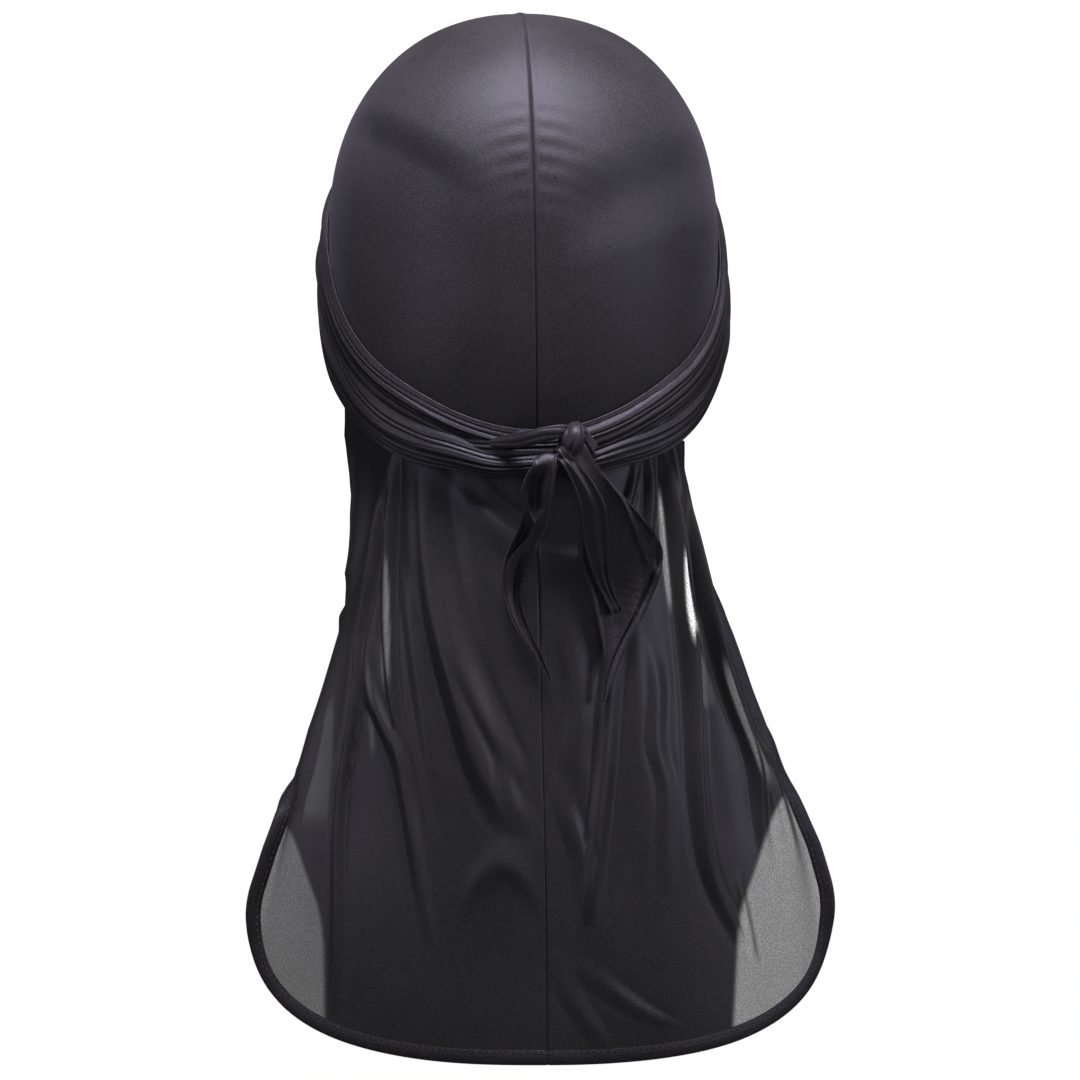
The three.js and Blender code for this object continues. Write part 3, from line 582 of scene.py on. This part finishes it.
SLITS = [  # how sheer the cloth looks where it lies single between folds, then rows of z and the two sides
    (0.36, [(-111, -56.9, -56.6), (-120, -57, -55.4), (-134, -57.5, -54.3), (-147, -58, -54),
        (-160, -58.6, -54), (-172, -58.2, -54.5), (-182, -56.4, -55)]),
    (0.24, [(-156, -63.6, -62.9), (-165, -64.1, -62), (-175, -64.3, -61.2), (-190, -63, -60.1),
        (-206, -62.6, -60.4)]),
    (0.27, [(-168, -76.4, -76), (-181, -79.3, -75.4), (-194, -81.3, -75.7), (-206, -83.9, -76.3),
        (-216, -87, -77.6), (-236, -91, -79)]),
    (0.56, [(-90, 49, 49.4), (-105, 48.9, 51.2), (-118.5, 49.3, 52.3), (-132, 50.8, 53.5), (-142, 52.2, 54.2),
        (-153, 53.6, 54.4)]),
    (0.97, [(-115, 58.4, 59), (-130, 58.5, 61.6), (-143, 59.2, 63.6), (-151, 60.6, 65), (-160, 62, 65.6)]),
    (0.27, [(-155, 62.2, 64.8), (-162, 63.3, 66.7), (-173, 64.4, 70.6), (-186, 67, 73)]),
    (0.36, [(-155, 71.6, 72.2), (-170, 74.7, 79.4), (-181, 78.3, 83.5), (-194, 83.8, 89), (-205, 87.9, 93.8),
        (-220, 94, 98)]),
]
SIDES = np.array([  # z, and how far the left and the right side of the flap hang out from the smooth form
    (-290, 0.6, 0), (-269, -1, 0.8), (-253, -1, 1.9), (-238, -1.8, 3.2), (-223, -1.4, 2.6),
    (-207, -4.2, 2.4), (-192, -3.6, -0.1), (-177, -1.4, -0.3), (-154, 1.4, 0), (-139, -1.8, -0.5),
    (-131, -3.2, -0.4), (-116, -1.6, 0.1), (-100, -0.4, 0.8), (-77, -1.8, 1.4), (-60, 0, 0)], float)
SHEER_LEFT = [  # z and x of the line where each lower corner turns sheer
    (-300, -79), (-270, -79.4), (-258, -81), (-246, -86), (-234, -90), (-226, -94), (-215, -110)]
SHEER_RIGHT = [(-303, 76.5), (-260, 79.2), (-243, 86.5), (-223, 93.4), (-205, 106)]


def hem_point(u):
    around = np.radians(90 * u)
    full = HEM_LINE["fullness"]
    total = np.abs(np.sin(around) / HEM_LINE["half_width"]) ** full
    total = total + np.abs(np.cos(around) / HEM_LINE["depth"]) ** full
    reach = total ** (-1 / full)
    across = reach * np.sin(around)
    depth = mix(HEM_DEPTH["centre_y"], HEM_DEPTH["edge_y"], (across / HEM_LINE["half_width"]) ** 2)
    return np.stack([HEM_LINE["centre_x"] + across, depth, HEM_LINE["widest_z"] - reach * np.cos(around)], -1)


def strap_foot(bearing):
    """The lower edge of the wrap's first and last pass, whichever is lower."""
    passes = strap_row(bearing), strap_row(np.maximum(bearing - 360, -345))
    return np.minimum(*(rise - width / 2 for rise, width, _, _ in passes))


def smooth_flap(u, v):
    """The flap without its folds: u runs from side to side, v from under the wrap to the hem."""
    bearing = u * np.where(u < 0, FLAP["bearing_left"], FLAP["bearing_right"])
    under = np.minimum(v / FLAP["tuck_share"], 1)
    top = CROWN["back_rise"] - FLAP["top_gap"]
    foot = strap_foot(np.abs(bearing)) - FLAP["tuck_past"]
    start = leaned(wrap_point(bearing, mix(top, foot, under), CLOTH / 2))
    end = hem_point(u)
    leave_x, leave_drop, arrive_x, arrive_rise = np.moveaxis(FLAP_EDGES[(u > 0).astype(int)], -1, 0)
    side = np.abs(u) ** 3
    leave = [leave_x * side, FLAP_MIDDLE["leave_y"] + 0 * u,
             -mix(FLAP_MIDDLE["leave_drop"], leave_drop, side)]
    arrive = [arrive_x * side, 0 * u, mix(FLAP_MIDDLE["arrive_rise"], arrive_rise, side)]
    t = np.clip((v - FLAP["tuck_share"]) / (1 - FLAP["tuck_share"]), 0, 1)[..., None]
    b, c = start + np.stack(leave, -1), end + np.stack(arrive, -1)
    return start * (1 - t) ** 3 + 3 * b * t * (1 - t) ** 2 + 3 * c * t ** 2 * (1 - t) + end * t ** 3


def rounded_table(rows):
    """A table at 200 even steps of its first column, with its corners rounded off."""
    rows = np.array(sorted(rows), float)
    steps = np.linspace(rows[0, 0], rows[-1, 0], 200)
    columns = [np.interp(steps, rows[:, 0], column) for column in rows.T[1:]]
    for _ in range(2):
        padded = [np.pad(column, 10, mode="reflect", reflect_type="odd") for column in columns]
        columns = [np.convolve(column, np.full(21, 1 / 21), "valid") for column in padded]
    return steps, *columns


def fold_height(at, u, v, spacing):
    """How far the folds stand out at points of the smooth flap. spacing is the cloth's width in mm for each
    step of u."""
    x, z = at[..., 0], at[..., 2]
    total = 0.3 * np.sin(x / 11 + z / 37) * np.sin(z / 23 - x / 51 + 1.3)
    total = total - FLAP_GROOVE["depth"] * bump(u * spacing, FLAP_GROOVE["width"])
    for top, hem, top_width, hem_width, height, start, peak, end in GATHERS:
        off = (u - mix(top, hem, v)) / mix(top_width, hem_width, v)
        total = total + height * ease(v, start, peak) * (1 - ease(v, peak, end)) * np.exp(-off ** 2)
    for left, right, rows in FOLDS:
        down, place, height = rounded_table(rows)
        off = x - np.interp(z, down, place)
        soft = np.where(off < 0, left, right)
        beside = bump(np.abs(off) - CREASE["at"] * soft, CREASE["width"] * soft)
        profile = bump(off, soft) - CREASE["share"] * beside
        total = total + FOLD_GAIN * np.interp(z, down, height, 0, 0) * profile
    for above, below, rows in SWAGS:
        across, place, height = rounded_table(rows)
        off = z - np.interp(x, across, place)
        total = total + np.interp(x, across, height, 0, 0) * bump(off, np.where(off > 0, above, below))
    down, place, depth = rounded_table(LEDGE)
    past = np.interp(z, down, place) - x
    return total - np.interp(z, down, depth, 0, 0) * ease(past, -0.2, 1.6) * (1 - ease(past, 4, 13))


def outward(places):
    """The unit normals of a grid whose rows run down and columns run to the right, seen from outside."""
    normal = np.cross(np.gradient(places, axis=0), np.gradient(places, axis=1))
    return normal / np.linalg.norm(normal, axis=-1, keepdims=True)


def flap_cover(at, normal):
    """How dense the cloth looks at each point: sheer in the two lower corners and between the side folds, and
    denser where it turns away from the back."""
    x, z = at[..., 0], at[..., 2]
    left = ease(np.interp(z, *rounded_table(SHEER_LEFT)) - x, -1, 2) * (z < SHEER["below"])
    right = ease(x - np.interp(z, *rounded_table(SHEER_RIGHT)), -1, 2) * (z < SHEER["below"])
    sheer = np.maximum(SHEER["left"] * left, SHEER["right"] * right)
    for most, rows in SLITS:
        down, low, high = rounded_table(rows)
        inside = ease(x - np.interp(z, down, low), -0.6, 1) * ease(np.interp(z, down, high) - x, -0.6, 1)
        fade = 0.25 * (down[-1] - down[0])
        sheer = np.maximum(sheer, most * inside * ease(down[-1] - z, 0, fade) * ease(z - down[0], 0, fade))
    return 1 - sheer ** (1 / np.clip(np.abs(normal[..., 1]), 0.3, 1))


flap_half = np.sort(np.append(1 - (1 - np.linspace(0, 1, FLAP["columns"])) ** 1.35, FLAP_GROOVE["columns"]))
flap_across = np.concatenate([-flap_half[:0:-1], flap_half])
flap_down = np.concatenate([np.linspace(0, FLAP["tuck_share"], FLAP["tuck_rows"])[:-1],
                            np.linspace(FLAP["tuck_share"], 1, FLAP["rows"])])
flap_u, flap_v = np.meshgrid(flap_across, flap_down)
flap_middle = smooth_flap(flap_u, flap_v)
flap_sides = [np.interp(flap_middle[..., 2], SIDES[:, 0], column) for column in SIDES.T[1:]]
flap_middle[..., 0] += np.where(flap_u < 0, *flap_sides) * ease(np.abs(flap_u), 0.6, 1)
flap_spacing = np.linalg.norm(np.gradient(flap_middle, axis=1), axis=-1) / np.gradient(flap_u, axis=1)
flap_folds = fold_height(flap_middle, flap_u, flap_v, flap_spacing)
flap_middle = flap_middle + outward(flap_middle) * flap_folds[..., None]
flap_normal = outward(flap_middle)
flap_face = flap_middle + flap_normal * SATIN_WALL / 2
flap_back = flap_middle - flap_normal * SATIN_WALL / 2
flap_flat = np.stack([flap_u * FLAP["width"], flap_v * FLAP["length"]], -1)
flap_cloth_cover = flap_cover(flap_face, flap_normal)
# The flap wears the crown's satin with darker tones. The grain is the cloth's own, and the lower level of
# both tones is painted shade, for the shade the flap hangs in under the wrap.
shaded_flap_satin = satin("polyester_satin_sheer_shaded", "#131213", "#272627", 0.42, 0.05, (0.6, 0.6, 0.5), 0.35, "cover")
flap = {}
half = len(flap_half) - 1
for name, part in (("flap_left", slice(0, half + 1)), ("flap_right", slice(half, None))):
    flap[name] = cloth_wall(name + "_cloth", flap_face[:, part], flap_back[:, part], shaded_flap_satin,
                            flap_flat[:, part], cover=flap_cloth_cover[:, part])
    stands_for(flap[name], name)


# Flap seam
# The crown's seam goes on down the flap. The panels' satin edges are sewn together and pressed flat inside
# it, so that only a thin dark line shows on the outside.
FLAP_SEAM = {"gap": 0.3, "thick": 0.5}
seam_rows = slice(FLAP["tuck_rows"] - 1, -3)
seam_normal = flap_normal[seam_rows, half]
seam_middle = flap_middle[seam_rows, half] - seam_normal * (SATIN_WALL / 2 + FLAP_SEAM["gap"])
seam_across = np.linspace(-1, SEAM["width"] - 1, 4)
flap_seam_face = seam_middle[:, None] + seam_across[:, None] * np.array([1, 0, 0])
flap_seam_back = flap_seam_face - seam_normal[:, None] * FLAP_SEAM["thick"]
flap_seam = cloth_wall("flap_seam_allowance", flap_seam_face, flap_seam_back, crown_satin)
flap_seam_line = flap_seam_back[:, 1] - seam_normal * 0.05
flap_stitches = stitch_row("flap_seam_stitches", [flap_seam_line], STITCH, thread)
for piece in (flap_seam, flap_stitches):
    stands_for(piece, "flap_seam")


# Flap hem
# The edge of the flap along both sides and the bottom. The satin is turned over twice into a narrow band and
# sewn with one row of stitches near its inner edge.
HEM = {"width": 6, "lap": 0.4, "thick": 1.5, "sewn_at": 0.24, "from": 16, "columns": 9, "stations": 900}
hem_rows = np.arange(HEM["from"], len(flap_down))
hem_border = [(r, 0) for r in hem_rows[:-1]] + [(len(flap_down) - 1, c) for c in range(len(flap_across))]
hem_border += [(r, len(flap_across) - 1) for r in hem_rows[:-1][::-1]]
border_rows, border_columns = np.array(hem_border).T
border = flap_middle[border_rows, border_columns]
border_length = np.cumsum(np.linalg.norm(np.diff(border, axis=0, prepend=border[:1]), axis=-1))
corners = [border_length[len(hem_rows) - 1], border_length[-len(hem_rows)]]
hem_steps = np.linspace(0, border_length[-1], HEM["stations"])


def at_steps(rows):
    """Rows along the border, taken at even steps of its length."""
    return np.stack([np.interp(hem_steps, border_length, column) for column in rows.T], -1)


def evened(rows, reach):
    """Rows of directions, each averaged with its neighbours along the border."""
    padded = np.pad(rows, ((reach, reach), (0, 0)), mode="edge")
    total = np.cumsum(np.pad(padded, ((1, 0), (0, 0))), axis=0)
    middle = total[2 * reach + 1:] - total[:-2 * reach - 1]
    return middle / np.linalg.norm(middle, axis=-1, keepdims=True)


border_normal = evened(at_steps(flap_normal[border_rows, border_columns]), 9)
border = at_steps(border)
padded = [np.pad(column, 9, mode="edge") for column in border.T]
smooth = np.stack([np.convolve(column, np.full(19, 1 / 19), "valid") for column in padded], -1)
at_corner = np.maximum(*(bump(hem_steps - corner, 14) for corner in corners))[:, None]
border = mix(border, smooth, at_corner)
border_out = evened(np.cross(np.gradient(border, axis=0), border_normal), 6)


def hem_face(sign):
    across = np.linspace(0, 1, HEM["columns"])[:, None, None]
    rounded = np.sqrt(1 - np.abs(2 * across - 1) ** 4)
    pressed = 1 - 0.4 * bump(across - HEM["sewn_at"], 0.08)
    swell = 1 + 0.1 * (np.sin(hem_steps / 2.3 + 1) * np.sin(hem_steps / 6.1))[:, None]
    thick = sign * HEM["thick"] / 2 * rounded * pressed * swell
    return border + border_out * (across * HEM["width"] - HEM["lap"]) + border_normal * thick


flap_hem = cloth_wall("flap_hem_cloth", hem_face(1), hem_face(-1), hem_satin)
hem_line = border + border_out * (HEM["sewn_at"] * HEM["width"] - HEM["lap"]) + border_normal * 0.42
hem_stitches = stitch_row("flap_hem_stitches", [hem_line], STITCH, thread)
for piece in (flap_hem, hem_stitches):
    stands_for(piece, "flap_hem")


# Knot
# The two straps' ends turn back round each other at the nape in one flat overhand tie. The pulled cloth
# is squeezed into rounded folds that run along each bend.
KNOT = {"x": 7, "z": -84, "stand": 12.4, "filled": 3, "stations": 130, "sides": 40}
# Piece, its node, broad axis at the start, and rows of x, z, out, half width, thickness and twist.
KNOT_PARTS = [
    ("knot_left_band", "knot_left", (0, 0, 1), [
        (-28, 5, -13, 0.5, 0.3, 0), (-20, 5.8, -6.5, 2, 0.8, 0), (-13, 6.8, 0, 2.9, 1.2, 3),
        (-8, 8, 5, 2.9, 1.2, 6), (-2, 9.4, 7, 2.8, 1.3, 6), (3.4, 10.2, 6.4, 2.6, 1.4, 4),
        (7, 8.4, 1.5, 2.9, 1.8, 0), (7.5, 4.6, -7, 3, 1.8, 0)]),
    ("knot_right_loop", "knot_right", (1, 0, 0), [
        (14, 3, -8, 3.6, 1.4, 0), (10, 8.6, -5.5, 3.6, 1.6, 0), (7, 11, -0.5, 3.8, 1.8, 0),
        (6.5, 10.9, 5, 3.9, 1.9, 0), (6.4, 8.6, 8.6, 4, 1.9, 0), (6.2, 4.6, 8.8, 3.7, 2, 0),
        (5.4, 1.4, 5.4, 3.2, 2, 0), (4.6, 1, -6, 3.2, 2, 0)]),
]
knot_centre = leaned(wrap_point(0, 0, 0)[None])[0]
knot_centre = np.array([KNOT["x"], knot_centre[1] - KNOT["stand"], KNOT["z"]])


def through(rows, share):
    """A smooth line through a table's rows, at shares of the way from its first to its last."""
    rows = np.asarray(rows, float)
    last = len(rows) - 1
    k = np.clip((share * last).astype(int), 0, last - 1)
    f = (share * last - k).reshape(-1, *[1] * (rows.ndim - 1))
    a, b, c, d = rows[np.maximum(k - 1, 0)], rows[k], rows[k + 1], rows[np.minimum(k + 2, last)]
    return 0.5 * (2 * b + (c - a) * f + (2 * a - 5 * b + 4 * c - d) * f ** 2
                  + (3 * b - a - 3 * c + d) * f ** 3)


def knot_part(name, wide, rows, material):
    """A band of cloth along a line, thick towards its inside, with folds that run along it."""
    rows = np.array(rows, float)
    share = np.linspace(0, 1, KNOT["stations"])
    line = through(np.stack([rows[:, 0], -rows[:, 2], rows[:, 1]], -1) + knot_centre, share)
    half, flat, turn = through(rows[:, 3:], share).T
    along = np.gradient(line, axis=0)
    along /= np.linalg.norm(along, axis=-1, keepdims=True)
    broad, thin = np.zeros_like(line), np.zeros_like(line)
    for k, way in enumerate(along):
        wide = wide - way * wide.dot(way)
        wide = wide / np.linalg.norm(wide)
        angle = math.radians(turn[k])
        broad[k] = wide * math.cos(angle) + np.cross(way, wide) * math.sin(angle)
        thin[k] = np.cross(broad[k], way)

    def face(sign):
        around = np.pi * np.linspace(0, 1, KNOT["sides"])[:, None]
        drift = 0.8 * np.sin(5 * share) + 0.4 * np.sin(13 * share + 1)
        fold = np.abs(np.sin(3 * around + drift + (0.8 if sign > 0 else 0.2))) ** 0.8
        swell = 0.8 + 0.26 * fold
        rounded = np.sin(around) ** 0.7
        thick = sign * flat * rounded * swell * (KNOT["filled"] if sign > 0 else 1)
        return line + (half * np.cos(around))[..., None] * broad + thick[..., None] * thin

    return cloth_wall(name, face(-1), face(1), material)


for name, node_name, wide, rows in KNOT_PARTS:
    piece = knot_part(name, np.array(wide, float), rows, strap_satin)
    stands_for(piece, node_name)


# Tails
# The straps' free ends fall from the knot on to the flap. The left one is rolled and twisted to a point, and
# the right one opens out like a kite, with one edge folded over and a slanted sewn end.
TAIL = {"thick": 0.6, "relief": 1.4, "arch": 2, "rows": 170, "columns": 44}
TAIL_EDGES = {  # x and z of both edges, how far out from the knot's middle, and how free of the flap
    "tail_left": [
        (-0.2, -87.7, 7.1, -87.7, -2, 1), (-1, -84.4, 7.5, -82.4, 4.5, 1), (-1.3, -86.4, 7.8, -84.4, 8, 1),
        (-4, -90.3, 7.5, -89.4, 8.4, 1), (-5.6, -96.3, 6.8, -96.3, 7, 1),
        (-5.1, -102.3, 6.1, -103.1, 5.6, 0.95), (-6.1, -108.3, 5, -110, 4.6, 0.8),
        (-9.2, -116, 1.5, -117.3, 4, 0.55), (-11.6, -122.9, -1, -123.7, 3.4, 0.3),
        (-12.6, -129.7, -3.2, -130.6, 3, 0.15), (-11.6, -137.4, -4.5, -138.3, 2.6, 0),
        (-8.3, -146.9, -2.8, -146.5, 2.4, 0), (-4, -154.2, 0.2, -153.7, 2.2, 0),
        (0.2, -160.6, 3.2, -160.2, 2, 0), (5.2, -168.6, 6.1, -167.9, 2, 0)],
    "tail_right": [
        (6.2, -82.5, 13.1, -80.4, -2, 1), (7.1, -80.4, 14.8, -77.4, 3, 1), (8, -81.3, 18.4, -78.7, 7.5, 1),
        (10.5, -85.5, 22.4, -85.5, 8, 1), (13.5, -91.1, 27, -91.6, 7.4, 1),
        (15.7, -98.8, 33.7, -98.8, 6.4, 0.95), (16.7, -108.3, 41, -107, 5.2, 0.8),
        (16.4, -116.9, 47.4, -115.1, 3.8, 0.55), (17, -124.6, 49.8, -122, 2.6, 0.3),
        (19.5, -131.4, 48.1, -131.4, 4, 0.12), (22.5, -140.9, 44, -140.9, 3.4, 0),
        (24.7, -150.3, 39.3, -149.5, 3, 0), (26.2, -158.9, 34.6, -157.2, 2.6, 0),
        (26.5, -167.5, 30.7, -166.2, 2.4, 0), (25.8, -176.5, 27, -176.5, 2.2, 0)],
    "tail_right_fold": [
        (7.1, -87.7, 11.4, -86.8, 0, 1), (7.5, -84.4, 12.7, -84.4, 6, 1), (9, -85.5, 15.7, -86.4, 9.5, 1),
        (11.8, -90.3, 19.5, -90.3, 10, 1), (14.4, -96.3, 23.4, -96.3, 9, 1),
        (16.3, -103.1, 26.2, -102.3, 7.8, 0.95), (17.2, -110, 27.4, -110, 6.6, 0.8),
        (18.4, -116.9, 27.9, -116.9, 5.6, 0.55), (20.4, -123.7, 28, -123.7, 4.8, 0.3),
        (23, -130.6, 28.7, -130.6, 4, 0.1), (26, -136.6, 30.7, -136.2, 3.4, 0),
        (29.6, -144.1, 33.7, -142.4, 3, 0)],
}
flap_places = kdtree.KDTree(flap_face[:, :, 0].size)
for k, (x, y, z) in enumerate(flap_face.reshape(-1, 3)):
    flap_places.insert((x, 0, z), k)
flap_places.balance()


def flap_depth(x, z):
    found = [flap_places.find((a, 0, b))[1] for a, b in zip(x.ravel(), z.ravel())]
    return flap_face.reshape(-1, 3)[found, 1].reshape(x.shape)


def tail(name, relief, stand, material):
    """A ribbon between its two edges. It comes out of the knot and falls to the flap, where it lies at a
    distance of stand."""
    share = np.linspace(0, 1, TAIL["rows"])
    left_x, left_z, right_x, right_z, out, free = through(TAIL_EDGES[name], share).T[:, :, None]
    across = np.linspace(0, 1, TAIL["columns"])
    x, z = mix(left_x, right_x, across), mix(left_z, right_z, across)
    z = z + TAIL["arch"] * np.sin(np.pi * across) * (1 - ease(share[:, None], 0, 0.25))
    lie = mix(flap_depth(x, z) - stand, knot_centre[1] - out, np.clip(free, 0, 1))
    lie = lie - TAIL["relief"] * relief(across, share[:, None]) * ease(share[:, None], 0.02, 0.2)
    outer = np.stack([x, lie - TAIL["thick"], z], -1)
    inner = np.stack([x, lie, z], -1)
    return cloth_wall(name + "_cloth", outer, inner, material)


def left_relief(a, t):
    """Two sewn edges before a hollow at the top, a loop at the left below it, then a strip that twists to
    the tip."""
    hems = 0.8 * (bump(a - 0.05, 0.05) + bump(a - 0.95, 0.05))
    hollow = -2.8 * bump(a - 0.42, 0.26) * ease(t, 0.16, 0.24) * (1 - ease(t, 0.34, 0.42))
    inner = 0.1 + 0.4 * bump(t - 0.46, 0.07)
    loop = -1.8 * bump(a - inner / 2 - 0.04, 0.05 + inner / 4) * bump(t - 0.47, 0.07)
    loop = loop + 0.9 * bump(a - inner - 0.08, 0.05) * bump(t - 0.46, 0.1)
    strip = 1.1 * bump(a - 0.24, 0.2) * ease(t, 0.5, 0.6)
    shade = -1.3 * bump(a - 0.7, 0.18) * ease(t, 0.5, 0.58) * (1 - ease(t, 0.74, 0.84))
    return hems + hollow + loop + strip + shade


def right_relief(a, t):
    """A kite of cloth: a sewn left edge, an outer corner that folds back along a crease, and a slanted
    double hem."""
    edge = 0.8 * bump(a - 0.04, 0.04)
    row = (len(TAIL_EDGES["tail_right"]) - 1) * t
    crease = np.interp(row, [3, 5, 6, 7, 8, 9], [0.96, 0.9, 0.79, 0.74, 0.78, 0.95])
    corner = ease(row, 3.5, 5) * (1 - ease(row, 8, 9))
    back = (0.9 * bump(a - crease, 0.03) - 1.8 * ease(a - crease, 0.02, 0.1)) * corner
    inner = np.interp(row, [8, 9, 10, 11, 12, 13], [0.9, 0.88, 0.84, 0.76, 0.62, 0.35])
    hem = (0.8 * ease(a - inner, 0, 0.05) - 0.9 * bump(a - inner, 0.03)) * ease(row, 7.8, 8.8)
    soft = 0.8 * np.sin(np.pi * a) + 0.6 * np.sin(5.5 * a + 2.5 * t) * np.sin(np.pi * a)
    rim = 0.7 * bump(a - 0.98, 0.03) * corner
    return edge + back + hem + soft + rim


def fold_relief(a, t):
    """The tail's own edge folded over into a narrow strip with a sewn end."""
    sides = 0.6 * bump(a - 0.06, 0.06) + 0.7 * bump(a - 0.94, 0.07)
    middle = 0.9 * np.sin(np.pi * a) * (1 - t) + 0.5 * bump(a - mix(0.4, 0.6, t), 0.12)
    return sides + middle + 0.6 * bump(t - 0.97, 0.02)


# Piece, its relief, how far it stands off the flap, the node it stands for, its flat size and its area.
TAIL_PIECES = [
    ("tail_left", left_relief, 2.6, "tail_left", (0.03, 0.085), 0.0013),
    ("tail_right", right_relief, 3.6, "tail_right", (0.05, 0.1), 0.0025),
    ("tail_right_fold", fold_relief, 6, "tail_right", (0.014, 0.075), 0.00073),
]
for name, relief, stand, node_name, flat_size, area in TAIL_PIECES:
    piece = tail(name, relief, stand, strap_satin)
    stands_for(piece, node_name)


# Stage
# A plain floor and sky that look white and throw little light back on the dark cloth, one wide lamp overhead,
# one at each side and a weak one behind the camera.
def seen_as(tree, lit, seen, end):
    """Ends a tree so that it lights the cloth as one shader and looks like another."""
    rays = add_node(tree, "ShaderNodeLightPath")
    either = add_node(tree, "ShaderNodeMixShader", links={0: (rays, "Is Camera Ray"), 1: lit, 2: seen})
    add_node(tree, end, links={"Surface": (either, "Shader")})


floor_mesh = bpy.data.meshes.new("floor")
floor_mesh.from_pydata([(-8, -8, -0.75), (8, -8, -0.75), (8, 8, -0.75), (-8, 8, -0.75)], [], [(0, 1, 2, 3)])
floor = add_object("floor", floor_mesh)
paper = new_material("white_paper")  # matt paper, even and white to the eye
matt = add_node(paper.node_tree, "ShaderNodeBsdfDiffuse", values={"Color": linear("#7A7A7A")})
white = add_node(paper.node_tree, "ShaderNodeEmission", values={"Strength": 1.0})
seen_as(paper.node_tree, (matt, "BSDF"), (white, "Emission"), "ShaderNodeOutputMaterial")
floor_mesh.materials.append(paper)

world = bpy.data.worlds.new("studio")
world.use_nodes = True
sky = world.node_tree
sky.nodes.clear()
dim = add_node(sky, "ShaderNodeBackground", values={"Color": (1, 1, 1, 1), "Strength": 0.03})
bright = add_node(sky, "ShaderNodeBackground", values={"Color": (1, 1, 1, 1), "Strength": 1.1})
seen_as(sky, (dim, "Background"), (bright, "Background"), "ShaderNodeOutputWorld")
bpy.context.scene.world = world
LAMPS = [  # name, place, what it points at, width and height in metres, watts
    ("overhead", (0.0, -0.4, 1.2), (0, 0, 0), (0.7, 0.6), 52),
    ("right", (1.5, -0.75, 0.3), (0, 0, -0.08), (0.6, 0.9), 12),
    ("left", (-1.5, -0.7, 0.25), (0, 0, -0.1), (0.6, 0.9), 7),
    ("behind_camera", (-0.2, -2.4, 0.15), (0, 0, -0.14), (0.9, 0.7), 5.5),
]
for name, place, aim, size, watts in LAMPS:
    lamp = bpy.data.lights.new(name, "AREA")
    lamp.shape = "RECTANGLE"
    lamp.size, lamp.size_y = size
    lamp.energy = watts
    stand = add_object(name, lamp)
    stand.location = place
    stand.rotation_euler = (Vector(place) - Vector(aim)).to_track_quat("Z", "Y").to_euler()
bpy.context.scene.view_settings.view_transform = "Standard"
